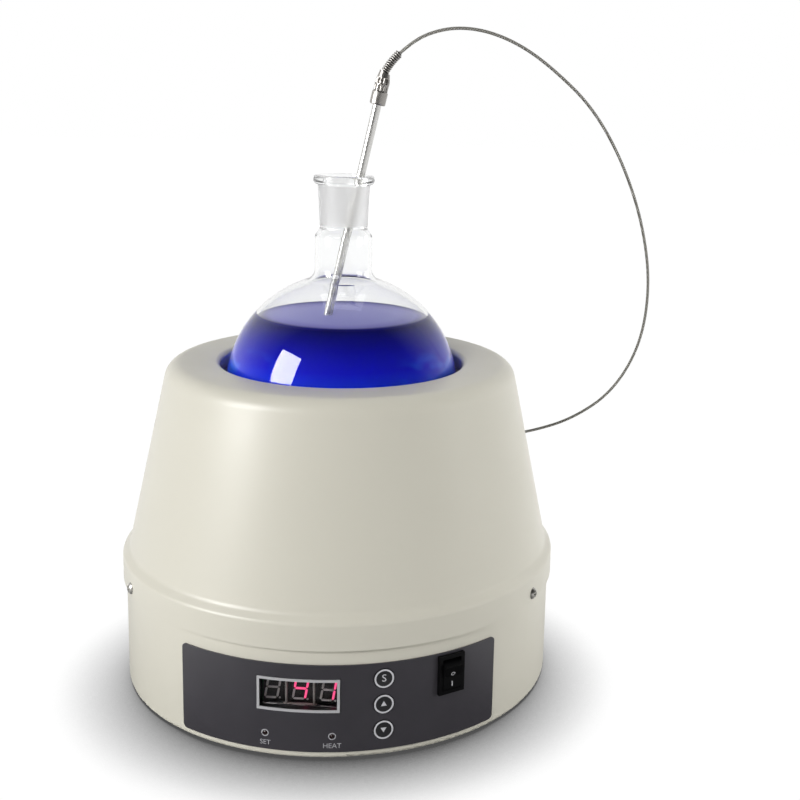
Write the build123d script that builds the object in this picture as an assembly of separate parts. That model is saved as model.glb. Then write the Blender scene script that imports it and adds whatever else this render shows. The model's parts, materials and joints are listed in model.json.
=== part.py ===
from build123d import *
import os
from math import atan2, cos, degrees, pi, radians, sin, sqrt, tan

# Laboratory heating mantle for a round-bottom flask, with digital control and a temperature probe.
# Millimetres. +Z is up, the front panel faces -Y, and the origin is on the bench at the mantle's axis.
# An azimuth is an angle about the axis in degrees: 0 is the front, and it grows towards +X.

# --- Driving dimensions ---
# Fits and gaps
seat_gap = 0.3          # between pieces that rest on or in each other
slip_gap = 0.2          # round a piece that passes through a cut-out
turn_gap = 0.05         # radial clearance of a pin in its hole

# Flask with a ground joint, and its liquid
flask_radius = 65.5
flask_sink = 17.1       # the ball's centre below the top of the shell
glass_wall = 2.0
neck_radius = 15.9
neck_blend = 7.0
neck_rise = 87.3        # neck's top above the ball's centre
joint_step = 4.5        # cone between the neck and the joint
joint_length = 29.0
joint_bore_radius = 12.0
joint_taper = 0.05      # change of radius per millimetre of length
joint_wall = 2.6
lip_radius = 16.9
lip_height = 4.6
lip_edge = 1.0
liquid_rise = 42.3      # liquid's level above the ball's centre
liquid_gap = 0.1

# Base drum
base_radius = 121.0
base_wall = 1.5
base_clear = 0.9        # drum's lower edge above the bench
base_edge_round = 2.0
flange_width = 11.0
seam_height = 59.5
drum_overlap = 9.0      # how far the drum reaches up inside the skirt

# Upper shell, one pressed cone
shell_wall = 1.5
top_height = 179.8
opening_radius = 68.2
lip_drop = 8.8
lip_round = 3.0
top_round = 9.5
cone_top_inset = 24.3   # from the drum's radius, where the cone's line meets the top plane
cone_foot_inset = 2.1
cone_foot_height = 77.0
foot_round = 5.0
shoulder_height = 73.2
shoulder_round = 3.0

# Heating bowl: hemispherical woven well
cloth_row_count = 10
cloth_ridge = 0.8
cloth_thickness = 3.8   # behind the valleys between the rows
collar_thickness = 3.5
collar_width = 16.4
element_ring_count = 6
element_width = 3.0
element_depth = 1.6
element_first_angle = 22.0
element_last_angle = 84.0

# Inner can, insulation, heat shield and pillars
can_radius = 82.0
can_wall = 0.8
shield_thickness = 1.2
shield_height = 58.0    # underside
shield_edge_gap = 1.0
shield_hole_radius = 4.0
shield_hole_circle = 100.0
shield_hole_count = 12
shield_hole_start = 15.0
pillar_radius = 4.0
pillar_circle = 95.0
pillar_azimuths = (90, 210, 330)

# Bottom plate, feet and screws
plate_thickness = 1.2
plate_vent_count = 14
plate_vent_length = 30.0
plate_vent_width = 5.0
plate_vent_circle = 58.0
foot_inset = 23.0       # foot's centre from the drum's radius
foot_radius = 8.0
foot_taper = 1.0
foot_recess_radius = 4.4
foot_recess_depth = 1.5
foot_azimuths = (45, 135, 225, 315)
foot_screw_tail = 2.0   # through the plate
screw_radius = 1.9
screw_hole_radius = 2.1
screw_head_radius = 3.3
screw_head_height = 2.0
flat_head_height = 0.8
shell_screw_azimuths = (-66.0, 58.0, 114.0, -122.0)
shell_screw_height = 63.6
shell_screw_length = 9.0
nut_radius = 3.8
nut_length = 4.0
plate_screw_length = 5.0
plate_screw_azimuths = (22.5, 112.5, 202.5, 292.5)

# Control panel, a plate that wraps the drum's front
panel_half_angle = 41.2
panel_bottom = 4.8
panel_top = 51.5
panel_thickness = 0.8
panel_gap = 0.05
panel_corner = 2.5

# Display: frame, window, module, digits and board
display_azimuth = -9.9
display_height = 35.2
frame_width = 41.8
frame_tall = 17.6
frame_border = 1.3
frame_proud = 0.5
display_recess = 8.0    # from the panel's face to the digits
module_width = 37.8
module_tall = 19.0
module_depth = 8.0
window_thickness = 1.0
window_recess = 4.2
digit_count = 3
digit_pitch = 14.1
digit_tall = 12.4
digit_wide = 7.3
digit_bar = 1.1
digit_gap = 0.25
digit_slant = 10.0
segment_thickness = 0.25
dot_radius = 0.5
dot_gap = 0.3
separator_wall = 0.8    # the upright between two digits
board_thickness = 1.6
display_board_width = 54.0
display_board_tall = 43.0
display_board_shift = -3.0
board_centre_height = 29.0
post_radius = 2.4
display_post_x = 24.0
display_post_y = 18.0

# Keys
key_offset = 42.959     # from the display's middle to the keys', along the panel's face
key_heights = {"set_key": 43.3, "up_key": 29.5, "down_key": 15.5}
key_radius = 5.1
key_hole_radius = 5.4
key_proud = 0.4
key_flange_radius = 6.4
key_flange_thickness = 1.2
key_stem_radius = 1.6
key_stem_length = 2.2
key_travel = 0.5
key_switch_gap = 0.1    # left between stem and plunger at full travel
key_dish_radius = 24.0
key_dish_depth = 0.3
key_board_width = 20.0
key_board_tall = 44.0
switch_body_size = 6.0
switch_body_tall = 3.5
switch_plunger_radius = 1.7
switch_plunger_tall = 1.5
key_post_x = 8.0
key_post_radius = 1.6

# Indicator lamps
lamp_azimuths = {"set_lamp": -17.8, "heat_lamp": -1.8}
lamp_height = 13.5
lamp_radius = 1.25
lamp_hole_radius = 1.4
lamp_proud = 0.2
lamp_length = 5.3
lamp_rim_radius = 2.0
lamp_rim_thickness = 1.0
lamp_leg = 0.5
lamp_leg_pitch = 1.27

# Power rocker switch
rocker_azimuth = 27.3
rocker_height = 39.8
bezel_width = 15.0
bezel_tall = 21.0
bezel_proud = 1.8
switch_width = 13.0
switch_tall = 19.0
switch_depth = 14.0     # behind the panel's face
switch_wall = 1.5
rocker_width = 10.4
rocker_gap = 0.3
rocker_tilt = 11.0      # each way from its middle
rocker_reach = 8.2      # half its length at the pivot's level
rocker_crown = 6.5      # pivot to the middle of its face
rocker_belly = 4.0
rocker_knee_reach = 7.0
rocker_knee_drop = 2.4
rocker_keel_reach = 2.5
pivot_depth = 6.1       # pivot below the bezel's face
pivot_radius = 1.2

# Power board and what stands on it
power_board_width = 96.0
power_board_deep = 66.0
power_board_x = 4.0
power_board_y = 18.0
transformer_place = (-26.0, -12.0)
sink_place = (22.0, 16.0)
capacitor_place = (6.0, -14.0)
terminal_place = (-24.0, 20.0)
standoff_tall = 8.0
standoff_radius = 3.0
standoff_inset = 5.0
core_width = 34.0
core_deep = 14.0
core_tall = 28.0
core_limb = 6.0
coil_deep = 24.0
coil_wall_gap = 0.3
coil_corner = 0.9
sink_width = 40.0
sink_tall = 30.0
sink_base = 3.0
sink_fin = 9.0
sink_fin_wall = 1.4
sink_fin_count = 7
triac_width = 10.0
triac_tall = 15.0
triac_thick = 4.4
triac_rise = 4.0        # above the heat sink's middle
triac_leg_pitch = 2.54
capacitor_radius = 6.2
capacitor_tall = 20.0
terminal_pitch = 8.0
terminal_count = 5
terminal_deep = 14.0
terminal_tall = 13.0
terminal_screw_radius = 2.4
terminal_screw_depth = 6.5
terminal_mouth_wide = 4.8
terminal_mouth_tall = 4.6
terminal_mouth_deep = 3.5
terminal_mouth_rise = 3.9

# Mains inlet, fuse holder and rear vents
inlet_height = 26.0
inlet_flange_width = 32.0
inlet_flange_tall = 24.5
inlet_proud = 1.6
inlet_body_width = 27.0
inlet_body_tall = 19.6
inlet_wall = 1.5
inlet_depth = 16.0
inlet_corner = 4.5
pin_wide = 2.0
pin_tall = 4.0
pin_recess = 4.8
pin_spread = 7.0
pin_rise = 2.0
tab_wide = 4.8
tab_thick = 0.8
tab_length = 8.0
fuse_azimuth = 157.0
fuse_body_radius = 6.0
fuse_body_length = 26.0
fuse_cap_radius = 7.5
fuse_cap_length = 4.5
fuse_slot = 1.4
fuse_slot_length = 10.5
vent_azimuths = (128, 132, 136, 140, 144, 216, 220, 224, 228, 232)
vent_width = 3.0
vent_length = 24.0
vent_height = 31.0

# Lead gland on the rear of the cone
gland_azimuth = 130.0
gland_height = 104.0
gland_flange_radius = 6.5
gland_flange_thickness = 1.8
gland_thread_radius = 4.0
gland_nose_radius = 4.0
gland_tip_radius = 2.0
gland_length = 12.0
gland_tail = 6.0
gland_nut_radius = 6.5
gland_nut_thickness = 2.5
gland_nut_gap = 0.5     # the flat nut clears the curved wall

# Probe, leaning in the flask on the neck's rim and on the bottom
probe_radius = 2.4
probe_length = 217.8
probe_rim_x = 9.1       # where its axis crosses the level of the rim
probe_lean = 12.56
ferrule_radius = 4.35
ferrule_length = 18.0
ferrule_bore_depth = 9.0
ferrule_edge = 0.5
ferrule_collar = 7.0    # smooth lower part
ferrule_step = 0.35     # from the collar in to the fluted part
ferrule_taper = 5.5     # length of the narrowing top
ferrule_top_radius = 2.9
flute_count = 10
flute_radius = 0.8
flute_length = 3.6
flute_gap = 0.4         # round each of the two tiers
relief_radius = 2.4
relief_core_radius = 1.8
relief_bend_radius = 38.9
relief_lean = 15.5      # at its foot, from the probe's axis
relief_turn = 19.4      # bend from foot to end
relief_ring_count = 11
relief_ring_fill = 0.62

# Sensor lead: corners of its route, chosen by hand, between the spring relief and the gland
lead_radius = 0.9
lead_gland_run = 12.0   # straight out of the gland
lead_relief_run = 9.0   # straight out of the spring relief
lead_corners = (
    (46.6, 0.5, 361.8),
    (61.1, 2.0, 365.1),
    (78.8, 5.0, 363.6),
    (98.2, 9.5, 356.5),
    (117.6, 15.0, 344.2),
    (142.5, 25.0, 323.8),
    (164.2, 37.5, 293.4),
    (182.6, 53.0, 255.0),
    (193.8, 69.0, 213.3),
    (193.2, 82.5, 171.5),
    (178.2, 92.0, 137.5),
    (152.8, 97.0, 117.6),
    (125.6, 96.0, 109.4),
)

# --- Values worked out from them ---
flask_centre_height = top_height - flask_sink
neck_top_height = flask_centre_height + neck_rise
liquid_height = flask_centre_height + liquid_rise
cloth_crest_radius = flask_radius + seat_gap
cloth_valley_radius = cloth_crest_radius + cloth_ridge
bowl_radius = cloth_valley_radius + cloth_thickness
collar_top = top_height - lip_drop - seat_gap
collar_bottom = collar_top - collar_thickness
cone_top_radius = base_radius - cone_top_inset
cone_foot_radius = base_radius - cone_foot_inset
drum_inner_radius = base_radius - base_wall
foot_circle = base_radius - foot_inset
skirt_radius = base_radius + seat_gap + shell_wall
drum_top = seam_height + drum_overlap
plate_bottom = base_clear + base_wall
plate_top = plate_bottom + plate_thickness
shield_top = shield_height + shield_thickness
cone_lean = degrees(atan2(cone_foot_radius - cone_top_radius, top_height - cone_foot_height))
panel_face_radius = base_radius + panel_gap + panel_thickness
key_azimuth = display_azimuth + degrees(key_offset / panel_face_radius)
digit_face = panel_face_radius - display_recess
window_back = panel_face_radius - window_recess - window_thickness
display_board_face = digit_face - module_depth
joint_top = neck_top_height + joint_step + joint_length
key_hole_inner = sqrt(drum_inner_radius**2 - key_flange_radius**2)
key_flange_front = key_hole_inner - seat_gap
key_stem_end = key_flange_front - key_flange_thickness - key_stem_length
key_board_face = key_stem_end - key_travel - key_switch_gap - switch_plunger_tall - switch_body_tall
bezel_face = panel_face_radius + bezel_proud
pivot_face = bezel_face - pivot_depth
board_bottom = plate_top + standoff_tall
board_top = board_bottom + board_thickness


# --- Placing and shaping helpers ---
def facing(azimuth, radius, height, tilt=0.0):
    """A plane on the body's side: local x runs right as seen from outside, y up and z outward."""
    a, t = radians(azimuth), radians(tilt)
    outward = (sin(a) * cos(t), -cos(a) * cos(t), sin(t))
    return Plane((radius * sin(a), -radius * cos(a), height), x_dir=(cos(a), sin(a), 0), z_dir=outward)


def turned(*points):
    """The solid turned about the Z axis from a closed outline of (radius, height) points."""
    return revolve(make_face(Plane.XZ * Polyline(*points, close=True)), Axis.Z)


def ring(inner, outer, bottom, top):
    return turned((inner, bottom), (outer, bottom), (outer, top), (inner, top))


def ring_sector(inner, outer, bottom, top, first_azimuth, last_azimuth):
    outline = Plane.XZ * Pos((inner + outer) / 2, (bottom + top) / 2) * Rectangle(outer - inner, top - bottom)
    return Rot(0, 0, first_azimuth - 90) * revolve(outline, Axis.Z, last_azimuth - first_azimuth)


def block(width, tall, back, front):
    """A box on a facing plane, between two distances along local z."""
    return Pos(0, 0, (back + front) / 2) * Box(width, tall, front - back)


def rod(radius, back, front):
    return Pos(0, 0, (back + front) / 2) * Cylinder(radius, front - back)


def inside(radius):
    """A tall cylinder about the axis, to trim pieces to the drum's curve."""
    return Pos(0, 0, top_height / 2) * Cylinder(radius, 2 * top_height)


def on_circle(azimuths, circle, solid):
    return [Rot(0, 0, a) * Pos(0, -circle, 0) * solid for a in azimuths]


# --- Flask and liquid ---
def blend_points(ball, neck, blend):
    """Where a round neck's blend leaves the ball and meets the neck, and the blend's middle."""
    reach = neck + blend
    rise = sqrt((ball + blend) ** 2 - reach**2)
    start = (reach * ball / (ball + blend), rise * ball / (ball + blend))
    towards = (start[0] - reach - blend, start[1] - rise)
    size = sqrt(towards[0] ** 2 + towards[1] ** 2)
    middle = (reach + blend * towards[0] / size, rise + blend * towards[1] / size)
    return start, middle, (neck, rise)


def glass_line(ball, neck, blend):
    """Half outline of a ball with a blended neck, from the bottom pole to the neck."""
    start, middle, end = (
        (r, flask_centre_height + z) for r, z in blend_points(ball, neck, blend)
    )
    pole = (0, flask_centre_height - ball)
    side = (ball, flask_centre_height)
    return ThreePointArc(pole, side, start) + ThreePointArc(start, middle, end), end


def joint_radius(height):
    return joint_bore_radius - joint_taper * (joint_top - height)


def make_flask():
    outer, outer_end = glass_line(flask_radius, neck_radius, neck_blend)
    inner, inner_end = glass_line(
        flask_radius - glass_wall, neck_radius - glass_wall, neck_blend + glass_wall
    )
    joint_foot = joint_top - joint_length
    lip_foot = joint_top - lip_height
    neck_outer = Polyline(
        outer_end,
        (neck_radius, neck_top_height),
        (joint_radius(joint_foot) + joint_wall, joint_foot),
        (joint_radius(lip_foot) + joint_wall, lip_foot - lip_edge),
        (lip_radius - lip_edge / 2, lip_foot),
        (lip_radius, lip_foot + lip_edge),
        (lip_radius, joint_top - lip_edge),
        (lip_radius - lip_edge, joint_top),
        (joint_bore_radius + lip_edge / 2, joint_top),
        (joint_radius(joint_top - lip_edge), joint_top - lip_edge),
        (joint_radius(joint_foot), joint_foot),
        (neck_radius - glass_wall, neck_top_height),
        inner_end,
    )
    pole = flask_centre_height - flask_radius
    poles = Line((0, pole), (0, pole + glass_wall))
    outline = make_face(Plane.XZ * (outer + neck_outer + inner + poles))
    return revolve(outline, Axis.Z)


def make_liquid():
    radius = flask_radius - glass_wall - liquid_gap
    drop = liquid_height - flask_centre_height
    body = Pos(0, 0, flask_centre_height) * Sphere(radius)
    above = Pos(0, 0, flask_centre_height + drop + radius) * Box(3 * radius, 3 * radius, 2 * radius)
    channel = probe_plane() * rod(probe_radius + liquid_gap, -2 * probe_radius, probe_length)
    tip = probe_plane() * Sphere(probe_radius + liquid_gap)
    return body - above - channel - tip


# --- Upper shell ---
def shell_outline():
    corners = (
        (opening_radius, top_height - lip_drop),
        (opening_radius, top_height),
        (cone_top_radius, top_height),
        (cone_foot_radius, cone_foot_height),
        (skirt_radius, shoulder_height),
        (skirt_radius, seam_height),
    )
    with BuildLine(Plane.XZ) as outline:
        FilletPolyline(*corners, radius=[lip_round, top_round, foot_round, shoulder_round])
    return outline.wire()


def make_upper_shell():
    wall = Face(shell_outline().offset_2d(shell_wall, side=Side.RIGHT, closed=True))
    shell = revolve(wall, Axis.Z)
    hole = Cylinder(screw_hole_radius, 6 * shell_wall)
    for azimuth in shell_screw_azimuths:
        shell -= facing(azimuth, skirt_radius, shell_screw_height) * hole
    return shell - gland_plane() * Cylinder(gland_thread_radius + slip_gap, 10 * shell_wall)


def cone_radius(height):
    share = (top_height - height) / (top_height - cone_foot_height)
    return cone_top_radius + (cone_foot_radius - cone_top_radius) * share


def gland_plane():
    return facing(gland_azimuth, cone_radius(gland_height), gland_height, cone_lean)


# --- Base drum ---
def make_base_shell():
    flange_radius = drum_inner_radius - flange_width
    corners = (
        (flange_radius, base_clear),
        (base_radius, base_clear),
        (base_radius, drum_top),
    )
    with BuildLine(Plane.XZ) as outline:
        FilletPolyline(*corners, radius=[base_edge_round])
    wall = Face(outline.wire().offset_2d(base_wall, side=Side.RIGHT, closed=True))
    drum = revolve(wall, Axis.Z)
    deep = 8 * base_wall
    drum -= facing(display_azimuth, base_radius, display_height) * Box(
        frame_width + 2 * slip_gap, frame_tall + 2 * slip_gap, deep
    )
    for height in key_heights.values():
        drum -= facing(key_azimuth, base_radius, height) * Cylinder(key_hole_radius, deep)
    for azimuth in lamp_azimuths.values():
        drum -= facing(azimuth, base_radius, lamp_height) * Cylinder(lamp_hole_radius, deep)
    drum -= facing(rocker_azimuth, base_radius, rocker_height) * Box(
        switch_width + 2 * slip_gap, switch_tall + 2 * slip_gap, deep
    )
    drum -= facing(180, base_radius, inlet_height) * Box(
        inlet_body_width + 2 * slip_gap, inlet_body_tall + 2 * slip_gap, deep
    )
    drum -= facing(fuse_azimuth, base_radius, inlet_height) * Cylinder(fuse_body_radius + slip_gap, deep)
    for azimuth in vent_azimuths:
        slot = extrude(SlotOverall(vent_length, vent_width, rotation=90), deep / 2, both=True)
        drum -= facing(azimuth, base_radius, vent_height) * slot
    for azimuth in shell_screw_azimuths:
        drum -= facing(azimuth, base_radius, shell_screw_height) * Cylinder(screw_hole_radius, deep)
    return drum - plate_screw_places(Pos(0, 0, base_clear) * Cylinder(screw_hole_radius, 4 * base_wall))


def plate_screw_places(solid):
    return on_circle(plate_screw_azimuths, drum_inner_radius - flange_width / 2, solid)


def make_bottom_plate():
    plate = ring(0, drum_inner_radius - 2 * seat_gap, plate_bottom, plate_top)
    outline = SlotOverall(plate_vent_length, plate_vent_width, rotation=90)
    vent = extrude(outline, 2 * plate_thickness, both=True)
    azimuths = [180 + n * 360 / plate_vent_count for n in range(plate_vent_count)]
    plate -= on_circle(azimuths, plate_vent_circle, Pos(0, 0, plate_bottom) * vent)
    hole = Pos(0, 0, plate_bottom) * Cylinder(screw_hole_radius, 4 * plate_thickness)
    return plate - plate_screw_places(hole) - on_circle(foot_azimuths, foot_circle, hole)


def make_foot(azimuth):
    body = turned(
        (0, foot_recess_depth),
        (foot_recess_radius, foot_recess_depth),
        (foot_recess_radius, 0),
        (foot_radius - foot_taper, 0),
        (foot_radius, plate_bottom),
        (0, plate_bottom),
    )
    body -= Cylinder(screw_hole_radius, 4 * plate_bottom)
    return on_circle((azimuth,), foot_circle, body)[0]


def flat_screw(underside, length):
    """A screw with a low head below its underside level and a shank above it."""
    head = rod(screw_head_radius, underside - flat_head_height, underside)
    return head + rod(screw_radius, underside, underside + length)


def make_foot_screws():
    length = plate_top - foot_recess_depth + foot_screw_tail
    return on_circle(foot_azimuths, foot_circle, flat_screw(foot_recess_depth, length))


def make_plate_screws():
    return plate_screw_places(flat_screw(base_clear, plate_screw_length))


def pan_screw():
    """A pan-head screw on a facing plane at its seat: head outward, shank inward."""
    rise = screw_head_height
    ball = (screw_head_radius**2 + rise**2) / (2 * rise)
    dome = Pos(0, 0, rise - ball) * Sphere(ball) & rod(screw_head_radius, 0, rise)
    return dome + rod(screw_radius, -shell_screw_length, rise / 4)


def make_shell_screws():
    return [facing(a, skirt_radius, shell_screw_height) * pan_screw() for a in shell_screw_azimuths]


def make_shell_nuts():
    nuts = []
    for azimuth in shell_screw_azimuths:
        flat = facing(azimuth, drum_inner_radius - seat_gap / 2, shell_screw_height)
        nut = rod(nut_radius, -nut_length, 0) - Cylinder(screw_hole_radius, 4 * nut_length)
        nuts.append((flat * nut) & inside(drum_inner_radius))
    return nuts


# --- Heating bowl and what carries it ---
def bowl_point(radius, angle):
    """A point in the bowl's section at an angle up from the bottom pole."""
    a = radians(angle)
    return (radius * sin(a), flask_centre_height - radius * cos(a))


def element_angles():
    step = (element_last_angle - element_first_angle) / (element_ring_count - 1)
    return [element_first_angle + step * n for n in range(element_ring_count)]


def element_section(angle, side_gap):
    """The element tape's section, or its groove with a gap all round, on the bowl's outer face."""
    place = Pos(*bowl_point(bowl_radius - element_depth / 2, angle)) * Rot(0, 0, angle - 90)
    return Plane.XZ * place * Rectangle(element_depth + 2 * side_gap, element_width + 2 * side_gap)


def make_heating_bowl():
    step = 90 / cloth_row_count
    rows = [
        ThreePointArc(
            bowl_point(cloth_valley_radius, n * step),
            bowl_point(cloth_crest_radius, (n + 0.5) * step),
            bowl_point(cloth_valley_radius, (n + 1) * step),
        )
        for n in range(cloth_row_count)
    ]
    collar = Polyline(
        (cloth_valley_radius, flask_centre_height),
        (cloth_valley_radius, collar_top),
        (cloth_valley_radius + collar_width, collar_top),
        (cloth_valley_radius + collar_width, collar_bottom),
        (bowl_radius, collar_bottom),
        (bowl_radius, flask_centre_height),
    )
    back = ThreePointArc(bowl_point(bowl_radius, 90), bowl_point(bowl_radius, 45), bowl_point(bowl_radius, 0))
    pole = Line(bowl_point(bowl_radius, 0), bowl_point(cloth_valley_radius, 0))
    cloth = make_face(Plane.XZ * (Curve() + rows + collar + back + pole))
    for angle in element_angles():
        cloth -= element_section(angle, turn_gap)
    return revolve(cloth, Axis.Z)


def make_heating_element():
    return [revolve(element_section(angle, 0), Axis.Z) for angle in element_angles()]


def make_insulation():
    block_radius = can_radius - can_wall - seat_gap
    bottom = shield_top + can_wall + seat_gap
    body = ring(0, block_radius, bottom, collar_bottom - seat_gap)
    hollow = bowl_radius + seat_gap
    body -= Pos(0, 0, flask_centre_height) * Sphere(hollow)
    return body - rod(hollow, flask_centre_height, top_height)


def make_inner_can():
    outline = (
        (0, shield_top),
        (can_radius, shield_top),
        (can_radius, collar_bottom - seat_gap),
        (can_radius - can_wall, collar_bottom - seat_gap),
        (can_radius - can_wall, shield_top + can_wall),
        (0, shield_top + can_wall),
    )
    return turned(*outline)


def make_heat_shield():
    disc = ring(0, drum_inner_radius - shield_edge_gap, shield_height, shield_top)
    hole = Pos(0, 0, shield_height) * Cylinder(shield_hole_radius, 4 * shield_thickness)
    azimuths = [shield_hole_start + n * 360 / shield_hole_count for n in range(shield_hole_count)]
    return disc - on_circle(azimuths, shield_hole_circle, hole)


def make_pillar(azimuth):
    return on_circle((azimuth,), pillar_circle, rod(pillar_radius, plate_top, shield_height))[0]


# --- Control panel and display ---
def make_control_panel():
    back = base_radius + panel_gap
    reach = panel_half_angle
    panel = ring_sector(back, panel_face_radius, panel_bottom, panel_top, -reach, reach)
    corners = [e for e in panel.edges() if e.length < 2 * panel_thickness]
    panel = fillet(corners, panel_corner)
    deep = 8 * panel_thickness
    panel -= facing(display_azimuth, panel_face_radius, display_height) * Box(
        frame_width + 2 * slip_gap, frame_tall + 2 * slip_gap, deep
    )
    for height in key_heights.values():
        panel -= facing(key_azimuth, panel_face_radius, height) * Cylinder(key_hole_radius, deep)
    for azimuth in lamp_azimuths.values():
        panel -= facing(azimuth, panel_face_radius, lamp_height) * Cylinder(lamp_hole_radius, deep)
    return panel - facing(rocker_azimuth, panel_face_radius, rocker_height) * Box(
        switch_width + 2 * slip_gap, switch_tall + 2 * slip_gap, deep
    )


def display_plane():
    return facing(display_azimuth, 0, display_height)


def make_display_frame():
    """The frame, with the uprights that part the digits."""
    back = digit_face + segment_thickness + seat_gap
    tube = block(frame_width, frame_tall, back, 2 * base_radius)
    tube -= block(frame_width - 2 * frame_border, frame_tall - 2 * frame_border, 0, 2 * base_radius)
    frame = (display_plane() * tube) & inside(panel_face_radius + frame_proud)
    tall = frame_tall - 2 * frame_border - 2 * slip_gap
    upright = block(separator_wall, tall, digit_face, window_back - seat_gap)
    places = [(n - digit_count / 2) * digit_pitch for n in range(1, digit_count)]
    return [frame] + [display_plane() * Pos(x, 0, 0) * upright for x in places]


def make_display_window():
    inner_gap = 2 * frame_border + slip_gap
    pane = block(frame_width - inner_gap, frame_tall - inner_gap, window_back, window_back + window_thickness)
    return display_plane() * pane


def make_display_module():
    return display_plane() * block(module_width, module_tall, display_board_face, digit_face)


def display_bar(x, y, length, upright):
    """A display bar with pointed ends about a point of the digit, leaning with it."""
    half, tip = length / 2 - digit_gap, digit_bar / 2
    flat = half - tip
    lying = ((-half, 0), (-flat, tip), (flat, tip), (half, 0), (flat, -tip), (-flat, -tip))
    points = [(x - v, y + u) if upright else (x + u, y + v) for u, v in lying]
    lean = tan(radians(digit_slant))
    outline = Polyline(*((u + v * lean, v) for u, v in points), close=True)
    return extrude(make_face(outline), segment_thickness)


def make_display_segments():
    across, limb = digit_wide - digit_bar, (digit_tall - digit_bar) / 2
    bars = [display_bar(0, side * limb, across, False) for side in (-1, 0, 1)]
    bars += [display_bar(x * across / 2, y * limb / 2, limb, True) for x in (-1, 1) for y in (-1, 1)]
    dot_x = digit_wide / 2 + dot_gap + dot_radius - limb * tan(radians(digit_slant))
    dot = Pos(dot_x, -limb, 0) * rod(dot_radius, 0, segment_thickness)
    first = -digit_pitch * (digit_count - 1) / 2
    places = [display_plane() * Pos(first + n * digit_pitch, 0, digit_face) for n in range(digit_count)]
    return [place * piece for place in places for piece in bars + [dot]]


def make_display_board():
    lift = board_centre_height - display_height
    board = Pos(display_board_shift, lift, 0) * block(
        display_board_width, display_board_tall, display_board_face - board_thickness, display_board_face
    )
    return display_plane() * board


def make_display_posts():
    lift = board_centre_height - display_height
    posts = []
    for i, j in ((-1, -1), (-1, 1), (1, -1), (1, 1)):
        place = display_plane() * Pos(i * display_post_x, j * display_post_y + lift, 0)
        post = place * rod(post_radius, display_board_face, base_radius)
        posts.append(post & inside(drum_inner_radius - seat_gap / 2))
    return posts


# --- Keys, lamps and key board ---
def make_key(height):
    front = panel_face_radius + key_proud
    cap = rod(key_radius, key_flange_front - key_flange_thickness, front)
    cap -= Pos(0, 0, front + key_dish_radius - key_dish_depth) * Sphere(key_dish_radius)
    flange = rod(key_flange_radius, key_flange_front - key_flange_thickness, key_flange_front)
    stem = rod(key_stem_radius, key_stem_end, key_flange_front)
    return facing(key_azimuth, 0, height) * (cap + flange + stem)


def make_key_board():
    place = facing(key_azimuth, 0, board_centre_height)
    return place * block(key_board_width, key_board_tall, key_board_face - board_thickness, key_board_face)


def make_key_switches():
    body = block(switch_body_size, switch_body_size, key_board_face, key_board_face + switch_body_tall)
    top = key_board_face + switch_body_tall
    body += rod(switch_plunger_radius, top, top + switch_plunger_tall)
    return [facing(key_azimuth, 0, height) * body for height in key_heights.values()]


def make_key_posts():
    posts = []
    levels = sorted(key_heights.values())
    for low, high in zip(levels, levels[1:]):
        for x in (-key_post_x, key_post_x):
            place = facing(key_azimuth, 0, (low + high) / 2) * Pos(x, 0, 0)
            post = place * rod(key_post_radius, key_board_face, base_radius)
            posts.append(post & inside(drum_inner_radius - seat_gap / 2))
    return posts


def make_lamp(azimuth):
    top = panel_face_radius + lamp_proud
    back = top - lamp_length
    lens = rod(lamp_radius, back, top - lamp_radius) + Pos(0, 0, top - lamp_radius) * Sphere(lamp_radius)
    rim_front = drum_inner_radius - seat_gap
    rim = rod(lamp_rim_radius, rim_front - lamp_rim_thickness, rim_front)
    board_reach = display_board_face / cos(radians(azimuth - display_azimuth)) + lamp_leg
    leg = block(lamp_leg, lamp_leg, board_reach, back + lamp_leg)
    legs = [Pos(side * lamp_leg_pitch / 2, 0, 0) * leg for side in (-1, 1)]
    return facing(azimuth, 0, lamp_height) * (lens + rim + legs)


# --- Power rocker switch ---
def rocker_plane():
    return facing(rocker_azimuth, 0, rocker_height)


def make_switch_body():
    bezel = block(bezel_width, bezel_tall, base_radius - base_wall, bezel_face)
    bezel -= rocker_plane().location.inverse() * inside(panel_face_radius + turn_gap)
    back = panel_face_radius - switch_depth
    body = bezel + block(switch_width, switch_tall, back, bezel_face)
    hollow_width = rocker_width + 2 * rocker_gap
    hollow_tall = 2 * (rocker_reach + rocker_gap)
    body -= block(hollow_width, hollow_tall, back + switch_wall, bezel_face + switch_wall)
    body -= Pos(0, 0, pivot_face) * Rot(0, 90, 0) * Cylinder(pivot_radius + turn_gap, bezel_width)
    return rocker_plane() * body


def make_power_rocker():
    lean = tan(radians(rocker_tilt))
    reach = sqrt(rocker_reach**2 + pivot_depth**2)
    crown_y = (-rocker_crown * lean + sqrt(reach**2 * (1 + lean**2) - rocker_crown**2)) / (1 + lean**2)
    half = (
        (crown_y, rocker_crown + crown_y * lean),
        (rocker_reach * cos(radians(rocker_tilt)), rocker_reach * sin(radians(rocker_tilt))),
        (rocker_reach, 0),
        (rocker_knee_reach, -rocker_knee_drop),
        (rocker_keel_reach, -rocker_belly),
    )
    outline = ((0, rocker_crown),) + half + tuple((-y, z) for y, z in reversed(half))
    side = Plane.YZ * make_face(Polyline(*outline, close=True))
    body = extrude(side, rocker_width / 2, both=True)
    body += Rot(0, 90, 0) * Cylinder(pivot_radius, switch_width - 4 * turn_gap)
    return rocker_plane() * Pos(0, 0, pivot_face) * Rot(rocker_tilt, 0, 0) * body


def make_switch_tabs():
    back = panel_face_radius - switch_depth
    tab = block(tab_wide, tab_thick, back - tab_length, back)
    return [rocker_plane() * Pos(0, y, 0) * tab for y in (-switch_tall / 3, 0, switch_tall / 3)]


# --- Power board ---
def on_board(x, y):
    return Pos(power_board_x + x, power_board_y + y, board_top)


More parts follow.
